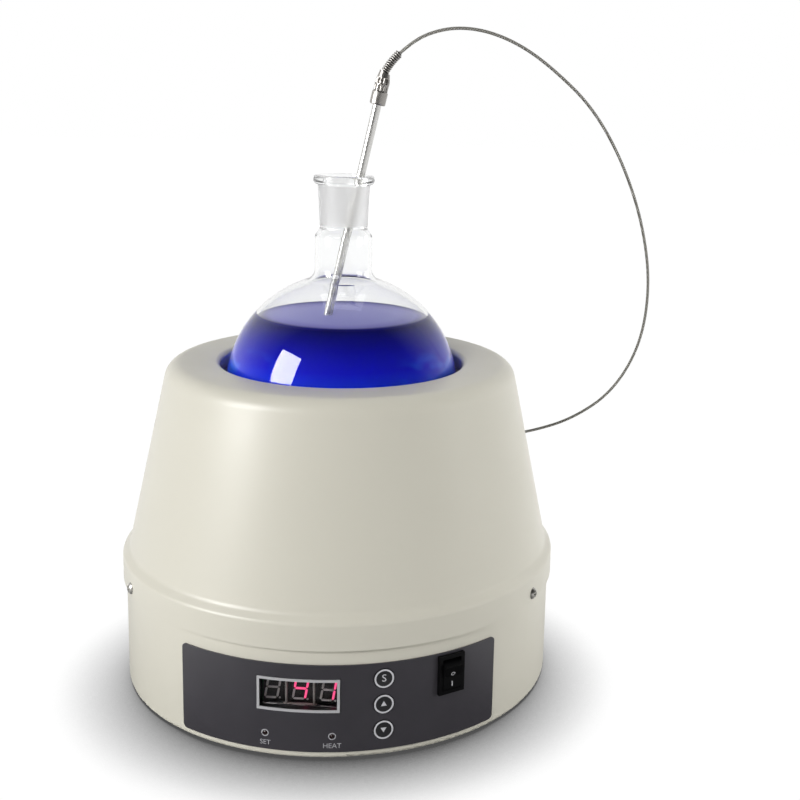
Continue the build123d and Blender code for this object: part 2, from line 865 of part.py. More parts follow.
def make_power_board():
    return Pos(power_board_x, power_board_y, board_bottom + board_thickness / 2) * Box(
        power_board_width, power_board_deep, board_thickness
    )


def make_standoffs():
    x, y = power_board_width / 2 - standoff_inset, power_board_deep / 2 - standoff_inset
    post = rod(standoff_radius, plate_top, board_bottom)
    return [Pos(power_board_x + i * x, power_board_y + j * y, 0) * post for i in (-1, 1) for j in (-1, 1)]


def make_transformer_core():
    core = Pos(0, 0, core_tall / 2) * Box(core_width, core_deep, core_tall)
    window_wide, window_tall = (core_width - 4 * core_limb) / 2, core_tall - 2 * core_limb
    for side in (-1, 1):
        x = side * (core_limb + window_wide / 2)
        core -= Pos(x, 0, core_tall / 2) * Box(window_wide, 2 * core_deep, window_tall)
    return on_board(*transformer_place) * core


def make_transformer_coil():
    window_wide = (core_width - 4 * core_limb) / 2
    wide = 2 * (core_limb + window_wide - coil_wall_gap)
    tall = core_tall - 2 * core_limb - 2 * coil_wall_gap
    coil = Box(wide, coil_deep, tall)
    coil -= Box(2 * (core_limb + coil_wall_gap), core_deep + 2 * coil_wall_gap, 2 * tall)
    corners = coil.edges().filter_by(Axis.Z).group_by(lambda e: abs(e.center().Y))[-1]
    return on_board(*transformer_place) * Pos(0, 0, core_tall / 2) * fillet(corners, coil_corner)


def make_heat_sink():
    sink = Pos(0, 0, sink_tall / 2) * Box(sink_width, sink_base, sink_tall)
    pitch = (sink_width - sink_fin_wall) / (sink_fin_count - 1)
    for n in range(sink_fin_count):
        x = (n - (sink_fin_count - 1) / 2) * pitch
        sink += Pos(x, (sink_base + sink_fin) / 2, sink_tall / 2) * Box(sink_fin_wall, sink_fin, sink_tall)
    return on_board(*sink_place) * sink


def make_triac():
    y = -(sink_base + triac_thick) / 2 - turn_gap
    centre = sink_tall / 2 + triac_rise
    low = centre - triac_tall / 2
    body = Pos(0, y, centre) * Box(triac_width, triac_thick, triac_tall)
    legs = [Pos(n * triac_leg_pitch, y, low / 2) * Box(tab_thick, tab_thick, low) for n in (-1, 0, 1)]
    return on_board(*sink_place) * (body + legs)


def make_capacitor():
    return on_board(*capacitor_place) * rod(capacitor_radius, 0, capacitor_tall)


def make_terminal_block():
    width = terminal_pitch * terminal_count
    body = Pos(0, 0, terminal_tall / 2) * Box(width, terminal_deep, terminal_tall)
    mouth = Box(terminal_mouth_wide, 2 * terminal_mouth_deep, terminal_mouth_tall)
    for n in range(terminal_count):
        x = (n - (terminal_count - 1) / 2) * terminal_pitch
        body -= Pos(x, 0, terminal_tall) * Cylinder(terminal_screw_radius, 2 * terminal_screw_depth)
        body -= Pos(x, terminal_deep / 2, terminal_mouth_rise) * mouth
    return on_board(*terminal_place) * body


# --- Rear of the base ---
def inlet_section(width, tall, corner):
    """A box outline with its two upper corners cut off."""
    x, y = width / 2, tall / 2
    points = ((-x, -y), (x, -y), (x, y - corner), (x - corner, y), (-x + corner, y), (-x, y - corner))
    return make_face(Polyline(*points, close=True))


def inlet_plane():
    return facing(180, 0, inlet_height)


def make_mains_inlet():
    face = base_radius + inlet_proud
    floor = face - inlet_depth
    flange = block(inlet_flange_width, inlet_flange_tall, base_radius - base_wall, face)
    flange -= inlet_plane().location.inverse() * inside(base_radius + turn_gap)
    body = flange + block(inlet_body_width, inlet_body_tall, floor - inlet_wall, face)
    cavity = inlet_section(inlet_body_width - 2 * inlet_wall, inlet_body_tall - 2 * inlet_wall, inlet_corner)
    body -= Pos(0, 0, floor) * extrude(cavity, 2 * inlet_depth)
    for x, y in pin_places():
        body -= Pos(x, y, 0) * block(pin_wide + 2 * turn_gap, pin_tall + 2 * turn_gap, 0, face)
    return inlet_plane() * body


def pin_places():
    return ((-pin_spread, -pin_rise), (0, pin_rise), (pin_spread, -pin_rise))


def make_inlet_pins():
    tip = base_radius + inlet_proud - pin_recess
    back = base_radius + inlet_proud - inlet_depth - inlet_wall
    pins = []
    for x, y in pin_places():
        blade = block(pin_wide, pin_tall, back, tip) + block(tab_thick, tab_wide, back - tab_length, back)
        pins.append(inlet_plane() * Pos(x, y, 0) * blade)
    return pins


def make_fuse_holder():
    back = base_radius - fuse_body_length
    body = rod(fuse_body_radius, back, base_radius + seat_gap)
    tab = block(tab_wide, tab_thick, back - tab_length, back)
    return facing(fuse_azimuth, 0, inlet_height) * (body + tab)


def make_fuse_cap():
    back = base_radius + seat_gap
    cap = rod(fuse_cap_radius, back, back + fuse_cap_length)
    cap -= Pos(0, 0, back + fuse_cap_length) * Box(fuse_slot_length, fuse_slot, 2 * fuse_slot)
    rim = cap.faces().sort_by(Axis.Z)[-1].edges().filter_by(GeomType.CIRCLE)
    return facing(fuse_azimuth, 0, inlet_height) * chamfer(rim, fuse_slot / 2)


# --- Sensor lead, its gland and the probe ---
def make_sensor_gland():
    return gland_plane() * Pos(0, 0, seat_gap) * turned(
        (0, -gland_tail - seat_gap),
        (gland_thread_radius, -gland_tail - seat_gap),
        (gland_thread_radius, 0),
        (gland_flange_radius, 0),
        (gland_flange_radius, gland_flange_thickness),
        (gland_nose_radius, gland_flange_thickness),
        (gland_tip_radius, gland_length - seat_gap),
        (0, gland_length - seat_gap),
    )


def make_gland_nut():
    nut = extrude(RegularPolygon(gland_nut_radius, 6, major_radius=False), gland_nut_thickness)
    nut -= Cylinder(gland_thread_radius + turn_gap, 4 * gland_nut_thickness)
    return gland_plane() * Pos(0, 0, -shell_wall - gland_nut_gap - gland_nut_thickness) * nut


def probe_plane():
    """Origin at the centre of the probe's round tip, local z up along the probe, x in its plane of lean."""
    lean = radians(probe_lean)
    reach = flask_radius - glass_wall - probe_radius - seat_gap
    # The axis passes (probe_rim_x, joint_top); the tip's centre lies on a ball of radius reach.
    rim_x, rim_z = probe_rim_x, joint_top - flask_centre_height
    along = rim_x * sin(lean) + rim_z * cos(lean)
    off = rim_x**2 + rim_z**2 - along**2
    drop = along + sqrt(reach**2 - off)
    origin = (rim_x - drop * sin(lean), 0, joint_top - drop * cos(lean))
    return Plane(origin, x_dir=(cos(lean), 0, -sin(lean)), z_dir=(sin(lean), 0, cos(lean)))


def make_probe_sheath():
    return probe_plane() * (Sphere(probe_radius) + rod(probe_radius, 0, probe_length + ferrule_bore_depth))


def make_probe_ferrule():
    """A smooth collar below, two tiers of flutes above it, and a top cut square to the spring relief."""
    top = probe_length + ferrule_length
    collar_end = probe_length + ferrule_collar
    body_radius = ferrule_radius - ferrule_step
    body = turned(
        (0, probe_length),
        (ferrule_radius - ferrule_edge, probe_length),
        (ferrule_radius, probe_length + ferrule_edge),
        (ferrule_radius, collar_end),
        (body_radius, collar_end),
        (body_radius, top - ferrule_taper),
        (ferrule_top_radius, top),
        (ferrule_top_radius, top + ferrule_step + ferrule_edge),
        (0, top + ferrule_step + ferrule_edge),
    )
    for tier in (0, 1):
        foot = collar_end + flute_gap + tier * (flute_length + flute_gap)
        flute = Pos(body_radius + flute_radius / 4, 0, 0) * rod(flute_radius, foot, foot + flute_length)
        for n in range(flute_count):
            body -= Rot(0, 0, (n + tier / 2) * 360 / flute_count) * flute
    body -= rod(probe_radius + turn_gap, 0, probe_length + ferrule_bore_depth + turn_gap)
    above = block(4 * ferrule_radius, 4 * ferrule_radius, 0, 2 * ferrule_radius)
    return probe_plane() * body - relief_place(0) * above


def relief_place(turn):
    """A plane on the relief's bent axis, turned on from its foot towards +X."""
    first, last = radians(relief_lean), radians(relief_lean + turn)
    x = relief_bend_radius * (cos(first) - cos(last))
    z = relief_bend_radius * (sin(last) - sin(first))
    return probe_plane() * Pos(x, 0, probe_length + ferrule_length + z) * Rot(0, relief_lean + turn, 0)


def make_spring_relief():
    """Coil turns of the spring as rings on a bent core, all turned about the centre of the bend."""
    bend = Axis((relief_place(0) * Pos(relief_bend_radius, 0, 0)).position, (0, 1, 0))
    pitch = relief_turn / relief_ring_count
    spring = revolve(relief_place(0) * Circle(relief_core_radius), bend, relief_turn)
    for n in range(relief_ring_count):
        start = (n + (1 - relief_ring_fill) / 2) * pitch
        spring += revolve(relief_place(start) * Circle(relief_radius), bend, relief_ring_fill * pitch)
    return spring


def lead_route():
    relief_end, gland_tip = relief_place(relief_turn), gland_plane() * Pos(0, 0, gland_length)
    from_relief = (relief_end * Pos(0, 0, lead_relief_run)).position
    from_gland = (gland_tip * Pos(0, 0, lead_gland_run)).position
    corners = [Vector(*p) for p in lead_corners]
    return [relief_end.position, from_relief] + corners + [from_gland, gland_tip.position]


def lead_radii(points):
    """Each corner's arc is as large as its two runs allow."""
    radii = []
    for before, at, after in zip(points, points[1:], points[2:]):
        arriving, leaving = at - before, after - at
        turn = radians(arriving.get_angle(leaving))
        radii.append(0.45 * min(arriving.length, leaving.length) / tan(turn / 2))
    return radii


def make_sensor_lead():
    points = lead_route()
    radii = lead_radii(points)
    path = FilletPolyline(*points, radius=radii)
    start = Plane(points[0], z_dir=points[1] - points[0])
    tube = sweep(start * Circle(lead_radius), path)
    runs = [(b - a).length for a, b in zip(points, points[1:])]
    print("sensor lead runs", [round(r, 1) for r in runs])
    print("sensor lead radii", [round(r, 1) for r in radii])
    share = tube.volume / (pi * lead_radius**2 * path.length)
    print("sensor lead length", round(path.length, 1), "volume over section times length", round(share, 4))
    return tube


# --- All sub-parts ---
def make_all():
    parts = {
        "upper_shell": make_upper_shell(),
        "base_shell": make_base_shell(),
        "bottom_plate": make_bottom_plate(),
        "foot_screws": make_foot_screws(),
        "plate_screws": make_plate_screws(),
        "shell_screws": make_shell_screws(),
        "shell_nuts": make_shell_nuts(),
        "heating_bowl": make_heating_bowl(),
        "heating_element": make_heating_element(),
        "insulation": make_insulation(),
        "inner_can": make_inner_can(),
        "heat_shield": make_heat_shield(),
        "control_panel": make_control_panel(),
        "display_frame": make_display_frame(),
        "display_window": make_display_window(),
        "display_module": make_display_module(),
        "display_segments": make_display_segments(),
        "display_board": make_display_board(),
        "display_posts": make_display_posts(),
        "key_board": make_key_board(),
        "key_switches": make_key_switches(),
        "key_posts": make_key_posts(),
        "power_switch_body": make_switch_body(),
        "power_rocker": make_power_rocker(),
        "power_switch_tabs": make_switch_tabs(),
        "power_board": make_power_board(),
        "board_standoffs": make_standoffs(),
        "transformer_core": make_transformer_core(),
        "transformer_coil": make_transformer_coil(),
        "heat_sink": make_heat_sink(),
        "triac": make_triac(),
        "filter_capacitor": make_capacitor(),
        "terminal_block": make_terminal_block(),
        "mains_inlet": make_mains_inlet(),
        "inlet_pins": make_inlet_pins(),
        "fuse_holder": make_fuse_holder(),
        "fuse_cap": make_fuse_cap(),
        "sensor_gland": make_sensor_gland(),
        "gland_nut": make_gland_nut(),
        "sensor_lead": make_sensor_lead(),
        "spring_relief": make_spring_relief(),
        "probe_ferrule": make_probe_ferrule(),
        "probe_sheath": make_probe_sheath(),
        "flask": make_flask(),
        "flask_liquid": make_liquid(),
    }
    parts.update({name: make_key(height) for name, height in key_heights.items()})
    parts.update({name: make_lamp(azimuth) for name, azimuth in lamp_azimuths.items()})
    parts.update({f"foot_{n}": make_foot(a) for n, a in enumerate(foot_azimuths, 1)})
    parts.update({f"pillar_{n}": make_pillar(a) for n, a in enumerate(pillar_azimuths, 1)})
    return parts


os.makedirs("parts", exist_ok=True)
for name, shape in make_all().items():
    solids = shape if isinstance(shape, list) else [shape]
    export_step(Compound(children=[s for part in solids for s in part.solids()]), f"parts/{name}.step")
print("done")
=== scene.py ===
import json
import math
import bmesh
import bpy
import numpy as np
from mathutils import Matrix, Vector


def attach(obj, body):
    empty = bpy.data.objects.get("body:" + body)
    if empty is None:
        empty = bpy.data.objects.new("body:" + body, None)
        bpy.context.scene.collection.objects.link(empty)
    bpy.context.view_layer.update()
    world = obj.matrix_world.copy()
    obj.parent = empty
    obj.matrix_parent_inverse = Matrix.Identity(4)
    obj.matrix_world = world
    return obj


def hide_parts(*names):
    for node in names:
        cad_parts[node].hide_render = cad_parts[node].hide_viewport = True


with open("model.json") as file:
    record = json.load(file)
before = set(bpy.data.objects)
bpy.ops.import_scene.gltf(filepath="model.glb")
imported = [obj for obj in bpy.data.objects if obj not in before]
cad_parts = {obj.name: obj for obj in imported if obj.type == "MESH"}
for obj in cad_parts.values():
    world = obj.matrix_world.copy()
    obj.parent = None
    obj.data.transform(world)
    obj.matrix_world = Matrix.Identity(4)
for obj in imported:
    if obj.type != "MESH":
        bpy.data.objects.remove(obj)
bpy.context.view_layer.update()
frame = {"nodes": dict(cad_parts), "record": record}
nodes = frame["nodes"]
mm = 0.001
print("frame loaded:", len(nodes), "solids' nodes")

# camera: place, right, up and forward directions of the view
cameraView = {
    "place": (0.0, -0.69106, 0.33417),
    "right": (0.99346329, -0.11002838, 0.03040478),
    "up": (-0.0076294, 0.20175785, 0.97940572),
    "forward": (0.11389683, 0.9732356, -0.19959956),
    "lens": 55.635,
    "shift": (-0.1057, -0.0779),
}


def addCamera():
    data = bpy.data.cameras.new("viewCamera")
    data.lens = cameraView["lens"]
    data.shift_x, data.shift_y = cameraView["shift"]
    data.clip_end = 20
    camera = bpy.data.objects.new("viewCamera", data)
    bpy.context.scene.collection.objects.link(camera)
    turn = Matrix((cameraView["right"], cameraView["up"], [-c for c in cameraView["forward"]])).transposed()
    camera.matrix_world = Matrix.Translation(cameraView["place"]) @ turn.to_4x4()
    bpy.context.scene.camera = camera


addCamera()


def newMaterial(name, color, roughness=0.5, metallic=0.0, **sockets):
    # a Principled material; extra sockets are given by name with spaces as underscores
    material = bpy.data.materials.new(name)
    material.use_nodes = True
    shader = material.node_tree.nodes["Principled BSDF"]
    shader.inputs["Base Color"].default_value = (*color, 1)
    shader.inputs["Roughness"].default_value = roughness
    shader.inputs["Metallic"].default_value = metallic
    for socket, value in sockets.items():
        shader.inputs[socket.replace("_", " ")].default_value = value
    return material


def addNode(material, kind, inputs=(), **settings):
    node = material.node_tree.nodes.new(kind)
    for key, value in settings.items():
        setattr(node, key, value)
    for key, value in dict(inputs).items():
        if isinstance(value, bpy.types.NodeSocket):
            material.node_tree.links.new(value, node.inputs[key])
        else:
            node.inputs[key].default_value = value
    return node


def link(material, source, target):
    material.node_tree.links.new(source, target)


def shaderOf(material):
    return material.node_tree.nodes["Principled BSDF"]


def maths(material, operation, first, second=0.0):
    # one arithmetic step on one or two values
    return addNode(material, "ShaderNodeMath", {0: first, 1: second}, operation=operation).outputs[0]


def vectorMaths(material, operation, first, second=(0, 0, 0), result="Vector"):
    inputs = {0: first, 1: second}
    return addNode(material, "ShaderNodeVectorMath", inputs, operation=operation).outputs[result]


def rescaled(material, value, start, end, low=0.0, high=1.0):
    # carries a value between start and end over to between low and high
    return addNode(material, "ShaderNodeMapRange", {
        "Value": value, "From Min": start, "From Max": end, "To Min": low, "To Max": high,
    }).outputs["Result"]


def blend(material, factor, first, second):
    # two colours mixed by a factor
    inputs = {"Factor": factor, "A": first, "B": second}
    return addNode(material, "ShaderNodeMix", inputs, data_type="RGBA").outputs["Result"]


def placed(material, stretch=(1, 1, 1)):
    coordinates = addNode(material, "ShaderNodeTexCoord").outputs["Object"]
    return addNode(material, "ShaderNodeMapping", {"Vector": coordinates, "Scale": stretch}).outputs[0]


def axesOf(material, place):
    return addNode(material, "ShaderNodeSeparateXYZ", {"Vector": place}).outputs


def axisDistance(material, place):
    # how far a place is from the upright axis
    flat = vectorMaths(material, "MULTIPLY", place, (1, 1, 0))
    return vectorMaths(material, "LENGTH", flat, result="Value")


def noise(material, scale, detail=2.0, stretch=(1, 1, 1)):
    inputs = {"Vector": placed(material, stretch), "Scale": scale, "Detail": detail}
    return addNode(material, "ShaderNodeTexNoise", inputs).outputs["Fac"]


def ramp(material, factor, stops):
    # stops are (position, colour) pairs
    node = addNode(material, "ShaderNodeValToRGB", {"Fac": factor})
    elements = node.color_ramp.elements
    while len(elements) < len(stops):
        elements.new(0.5)
    for element, (position, color) in zip(elements, stops):
        element.position = position
        element.color = (*color, 1) if len(color) == 3 else color
    return node.outputs["Color"]


def paint(material, color):
    link(material, color, shaderOf(material).inputs["Base Color"])


def tint(material, factor, low, high, start=0.3, end=0.7):
    paint(material, ramp(material, factor, [(start, low), (end, high)]))


def roughen(material, factor, low, high, start=0.3, end=0.7):
    link(material, rescaled(material, factor, start, end, low, high), shaderOf(material).inputs["Roughness"])


def bump(material, height, strength, distance):
    node = addNode(
        material, "ShaderNodeBump", {"Height": height, "Strength": strength, "Distance": distance * mm}
    )
    link(material, node.outputs["Normal"], shaderOf(material).inputs["Normal"])


def srgb(red, green, blue):
    # a colour written as 0-255 values, turned into linear light
    c = np.array([red, green, blue]) / 255
    return tuple(float(v) for v in np.where(c <= 0.04045, c / 12.92, ((c + 0.055) / 1.055) ** 2.4))


def shade(color, factor):
    return tuple(min(1.0, c * factor) for c in color)


def plainFinish(name, color, roughness, metallic=0.0, grain=900, relief=0.02, spread=0.06, **sockets):
    # a moulded or coated finish: slight mottling of its colour and gloss, and a fine grain
    material = newMaterial(name, color, roughness, metallic, **sockets)
    soft = noise(material, 45, 3)
    tint(material, soft, shade(color, 1 - spread), shade(color, 1 + spread))
    roughen(material, noise(material, 160, 2), roughness - 0.04, roughness + 0.05)
    if relief:
        bump(material, noise(material, grain, 2), 0.5, relief)
    return material


paintTone = srgb(208, 205, 192)


def ivoryPaint():
    # powder coat: warm ivory, an orange-peel relief and slightly uneven gloss
    material = newMaterial(
        "ivoryPaint", paintTone, 0.38, 0.0, Specular_IOR_Level=0.3, Coat_Weight=0.08, Coat_Roughness=0.22
    )
    tint(material, noise(material, 9, 2), shade(paintTone, 0.985), shade(paintTone, 1.01))
    roughen(material, noise(material, 60, 3), 0.34, 0.42)
    bump(material, noise(material, 620, 2), 0.35, 0.03)
    return material


def brushedMetal(name, color, roughness, stretch=(1, 1, 0.04), relief=0.01, metallic=1.0):
    # metal with fine lines along one direction
    material = newMaterial(name, color, roughness, metallic)
    lines = noise(material, 1500, 3, stretch)
    tint(material, lines, shade(color, 0.9), shade(color, 1.08))
    roughen(material, lines, roughness - 0.06, roughness + 0.08)
    bump(material, lines, 0.4, relief)
    return material


def wovenFinish(name, color, roughness, scale, relief):
    # two crossed families of threads, the higher one on top
    material = newMaterial(name, color, roughness, 0.0, Sheen_Weight=0.3)
    threads = []
    for stretch in ((1, 1, 1), (1, -1, 1)):
        inputs = {"Vector": placed(material, stretch), "Scale": scale, "Distortion": 1.5}
        wave = addNode(material, "ShaderNodeTexWave", inputs, bands_direction="DIAGONAL")
        threads.append(wave.outputs["Fac"])
    both = maths(material, "MAXIMUM", *threads)
    tint(material, both, shade(color, 0.55), shade(color, 1.1), 0.2, 0.9)
    bump(material, both, 0.8, relief)
    return material


jointZone = {
    "low": 0.2555, "high": 0.279, "edge": 0.0012, "frost": 0.42,
    "clearTone": (0.975, 0.98, 0.98), "groundTone": (0.86, 0.86, 0.86),
}


def glassFinish():
    # clear glass, frosted and greyer where the joint is ground, between two heights
    z = jointZone
    material = newMaterial("clearGlass", (0.985, 0.99, 0.99), 0.0, 0.0, Transmission_Weight=1.0, IOR=1.47)
    height = axesOf(material, placed(material))["Z"]
    rise = rescaled(material, height, z["low"] - z["edge"], z["low"] + z["edge"])
    fall = rescaled(material, height, z["high"] + z["edge"], z["high"] - z["edge"])
    zone = maths(material, "MINIMUM", rise, fall)
    link(material, maths(material, "MULTIPLY", zone, z["frost"]), shaderOf(material).inputs["Roughness"])
    paint(material, ramp(material, zone, [(0, z["clearTone"]), (1, z["groundTone"])]))
    return material


# painted light in the liquid's colours: the body stops lighten from navy at the top to royal blue low down,
# the level surface's stops are a painted reflection that darkens at the rim, and the cyan-blue tone is
# painted caustic light low at both sides
liquidTone = {
    "levels": (0.176, 0.205), "surface": 0.2046, "rim": (0.03, 0.0478),
    "body": ((0.0, (24, 62, 250)), (0.3, (14, 22, 214)), (0.65, (4, 7, 170)), (1.0, (1, 2, 88))),
    "top": ((0.0, (158, 158, 222)), (0.6, (130, 128, 208)), (0.8, (70, 68, 168)), (1.0, (14, 12, 104))),
    "paintedCaustic": (34, 110, 250), "paintedCausticLow": (0.192, 0.178), "paintedCausticAside": (0.024, 0.046),
}


def liquidFinish():
    # dyed water with painted light: lightening from navy at the top to royal blue low down, painted caustic
    # streaks low at both sides, and a painted reflection on the level surface, pale violet with a dark rim,
    # by the distance from the axis
    t = liquidTone
    material = newMaterial(
        "blueLiquid", (0.01, 0.01, 0.3), 0.5, 0.0, Transmission_Weight=0.15, IOR=1.33, Specular_IOR_Level=0.05
    )
    paintedLightBodyStops, paintedReflectionStops = ([(at, srgb(*tone)) for at, tone in t[name]] for name in ("body", "top"))
    place = placed(material)
    axes = axesOf(material, place)
    # painted light: the body lightens from navy at the top to royal blue low down
    body = ramp(material, rescaled(material, axes["Z"], *t["levels"]), paintedLightBodyStops)
    # painted reflection on the level surface, pale in the middle and dark at the rim
    surface = ramp(material, rescaled(material, axisDistance(material, place), *t["rim"]), paintedReflectionStops)
    top = maths(material, "GREATER_THAN", axes["Z"], t["surface"])
    # painted caustic streaks, low down near both sides
    paintedCaustic = rescaled(material, noise(material, 42, 2, (1, 1, 2)), 0.52, 0.68)
    low = rescaled(material, axes["Z"], *t["paintedCausticLow"])
    edge = rescaled(material, maths(material, "ABSOLUTE", axes["X"]), *t["paintedCausticAside"])
    paintedCausticMask = maths(material, "MULTIPLY", maths(material, "MULTIPLY", paintedCaustic, low), edge)
    paint(material, blend(material, top, blend(material, paintedCausticMask, body, (*srgb(*t["paintedCaustic"]), 1)), surface))
    return material


frameTone = {
    "face": 0.1218, "recess": 0.1166, "uprights": 0.0085, "azimuth": -9.9,
    "dark": srgb(12, 12, 13), "grey": srgb(185, 182, 176), "pale": srgb(178, 178, 180),
}


def framePlastic():
    # one moulding: pale on its face, black in its recess, with the two uprights grey
    t = frameTone
    material = newMaterial("framePlastic", srgb(150, 150, 152), 0.4)
    place = placed(material)
    radius = axisDistance(material, place)
    a = math.radians(t["azimuth"])
    side = vectorMaths(material, "DOT_PRODUCT", place, (math.cos(a), math.sin(a), 0), "Value")
    middle = maths(material, "LESS_THAN", maths(material, "ABSOLUTE", side), t["uprights"])
    upright = maths(material, "MULTIPLY", maths(material, "LESS_THAN", radius, t["recess"]), middle)
    inside = blend(material, upright, (*t["dark"], 1), (*t["grey"], 1))
    face = maths(material, "GREATER_THAN", radius, t["face"])
    paint(material, blend(material, face, inside, (*t["pale"], 1)))
    return material


def braidFinish():
    # crossed fine wires: two families of diagonal stripes multiplied
    material = newMaterial("braid", srgb(150, 148, 142), 0.45, 0.3)
    stripes = []
    for stretch in ((1, 1, 1), (-1, 1, 1)):
        wave = addNode(material, "ShaderNodeTexWave", {
            "Vector": placed(material, stretch), "Scale": 420, "Distortion": 0.4, "Detail": 1,
        }, bands_direction="DIAGONAL")
        stripes.append(wave.outputs["Fac"])
    both = maths(material, "MULTIPLY", *stripes)
    tint(material, both, srgb(112, 110, 104), srgb(200, 198, 192), 0.1, 0.8)
    bump(material, both, 0.6, 0.15)
    return material


materials = {
    "ivory_paint": ivoryPaint(),
    "panel_film": plainFinish("panelFilm", srgb(60, 58, 63), 0.34, grain=1400, relief=0.012, spread=0.05),
    "frame_plastic": framePlastic(),
    "window_acrylic": newMaterial(
        "windowAcrylic", (0.62, 0.6, 0.61), 0.03, 0.0, Transmission_Weight=1.0, IOR=1.2
    ),
    "display_body": plainFinish("displayBody", srgb(10, 9, 10), 0.5),
    "display_bars": plainFinish("displayBars", srgb(205, 203, 200), 0.4, relief=0),
    "key_plastic": plainFinish("keyPlastic", srgb(40, 40, 42), 0.42),
    "lamp_lens": plainFinish("lampLens", srgb(52, 34, 34), 0.2, relief=0, Transmission_Weight=0.3),
    "switch_plastic": plainFinish("switchPlastic", srgb(7, 7, 8), 0.4, Specular_IOR_Level=0.12),
    "circuit_board": plainFinish("circuitBoard", srgb(28, 92, 52), 0.45),
    "black_plastic": plainFinish("blackPlastic", srgb(26, 26, 27), 0.42),
    "green_plastic": plainFinish("greenPlastic", srgb(58, 128, 76), 0.45),
    "bright_screw": brushedMetal("brightScrew", srgb(176, 174, 168), 0.3, (1, 1, 1)),
    "zinc_steel": brushedMetal("zincSteel", srgb(168, 170, 172), 0.38, (1, 1, 1)),
    "stainless": brushedMetal("stainless", srgb(204, 203, 200), 0.27, metallic=0.88),
    "dull_steel": brushedMetal("dullSteel", srgb(160, 157, 153), 0.36),
    "aluminium": brushedMetal("aluminium", srgb(200, 202, 205), 0.36, (1, 1, 0.1)),
    "heater_strip": wovenFinish("heaterStrip", srgb(132, 122, 108), 0.7, 260, 0.2),
    "copper_coil": brushedMetal("copperCoil", srgb(190, 118, 76), 0.35, (0.05, 0.05, 1), 0.05),
    "glass_cloth": wovenFinish("glassCloth", srgb(120, 116, 108), 0.85, 190, 0.35),
    "mineral_wool": plainFinish("mineralWool", srgb(205, 198, 178), 0.95, grain=350, relief=0.8, spread=0.15),
    "rubber_black": plainFinish("rubberBlack", srgb(30, 30, 30), 0.8, grain=700, relief=0.05),
    "clear_glass": glassFinish(),
    "blue_liquid": liquidFinish(),
    "lit_bars": plainFinish(
        "litBars", srgb(120, 20, 50), 0.4, relief=0,
        Emission_Color=(0.95, 0.09, 0.25, 1), Emission_Strength=1.9,
    ),
    "white_print": plainFinish("whitePrint", srgb(200, 200, 204), 0.5, relief=0, spread=0.04),
    "grey_print": plainFinish("greyPrint", srgb(172, 172, 176), 0.5, relief=0, spread=0.04),
    "braid": braidFinish(),
}
print("materials made:", len(materials))


def addMesh(name, points, faces, finish, body="mantle", smooth=True, flat=False):
    # merges doubled points at poles and seams, then turns all faces outwards; flat print keeps its own side
    mesh = bpy.data.meshes.new(name)
    mesh.from_pydata(np.asarray(points, float).tolist(), [], [list(f) for f in faces])
    work = bmesh.new()
    work.from_mesh(mesh)
    bmesh.ops.remove_doubles(work, verts=work.verts, dist=1e-7)
    if not flat:
        bmesh.ops.recalc_face_normals(work, faces=work.faces)
    work.to_mesh(mesh)
    work.free()
    mesh.polygons.foreach_set("use_smooth", np.full(len(mesh.polygons), smooth))
    mesh.materials.append(materials[finish])
    piece = bpy.data.objects.new(name, mesh)
    bpy.context.scene.collection.objects.link(piece)
    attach(piece, body)
    return piece


def gridFaces(rows, columns, closeRows=False, closeColumns=False):
    # quads between the neighbours of a rows x columns grid of points
    r = np.arange(rows if closeRows else rows - 1)
    c = np.arange(columns if closeColumns else columns - 1)
    r, c = np.meshgrid(r, c, indexing="ij")
    nextR, nextC = (r + 1) % rows, (c + 1) % columns
    quads = np.stack([r * columns + c, r * columns + nextC, nextR * columns + nextC, nextR * columns + c], -1)
    return quads.reshape(-1, 4)


def sharpen(piece, angle=32):
    piece.data.set_sharp_from_angle(angle=math.radians(angle))


def turnedSurface(profile, steps=160):
    # point(a, s) = (r(s) sin a, -r(s) cos a, z(s))
    angle = np.linspace(0, 2 * np.pi, steps, endpoint=False)[None, :]
    radius, height = profile[:, 0][:, None], profile[:, 1][:, None]
    return np.stack([radius * np.sin(angle), -radius * np.cos(angle), height + 0 * angle], -1)


def arcPoints(centre, radius, start, end, count=8):
    # an arc's (r, z) points between two angles in degrees
    a = np.radians(np.linspace(start, end, count))
    return np.stack([centre[0] + radius * np.cos(a), centre[1] + radius * np.sin(a)], -1)


def roundedOutline(corners, radii, count=9):
    # each inner corner of the open outline becomes an arc tangent to its two runs
    corners = np.asarray(corners, float)
    pieces = [corners[:1]]
    for before, at, after, radius in zip(corners, corners[1:], corners[2:], radii):
        u, v = (before - at) / np.linalg.norm(before - at), (after - at) / np.linalg.norm(after - at)
        half = math.acos(float(np.clip(u @ v, -1, 1))) / 2
        reach = radius / math.tan(half)
        middle = at + (u + v) / np.linalg.norm(u + v) * radius / math.sin(half)
        first, last = at + u * reach - middle, at + v * reach - middle
        start, end = math.atan2(first[1], first[0]), math.atan2(last[1], last[0])
        end = start + (end - start + math.pi) % (2 * math.pi) - math.pi
        angle = np.linspace(start, end, count)
        pieces.append(middle + radius * np.stack([np.cos(angle), np.sin(angle)], -1))
    pieces.append(corners[-1:])
    return np.concatenate(pieces)


def shifted(outline, distance):
    # the outline moved sideways by a distance, along the normal of each point
    along = np.gradient(outline, axis=0)
    length = np.linalg.norm(along, axis=1, keepdims=True)
    normal = np.stack([along[:, 1], -along[:, 0]], -1) / length
    return outline + normal * distance


def tubeFaces(rows, columns, start=True):
    # a grid that closes on itself round about, with one many-sided face at its end and,
    # unless told otherwise, one at its start
    faces = gridFaces(rows, columns, False, True).tolist()
    if start:
        faces.append(list(range(columns))[::-1])
    faces.append([(rows - 1) * columns + i for i in range(columns)])
    return faces


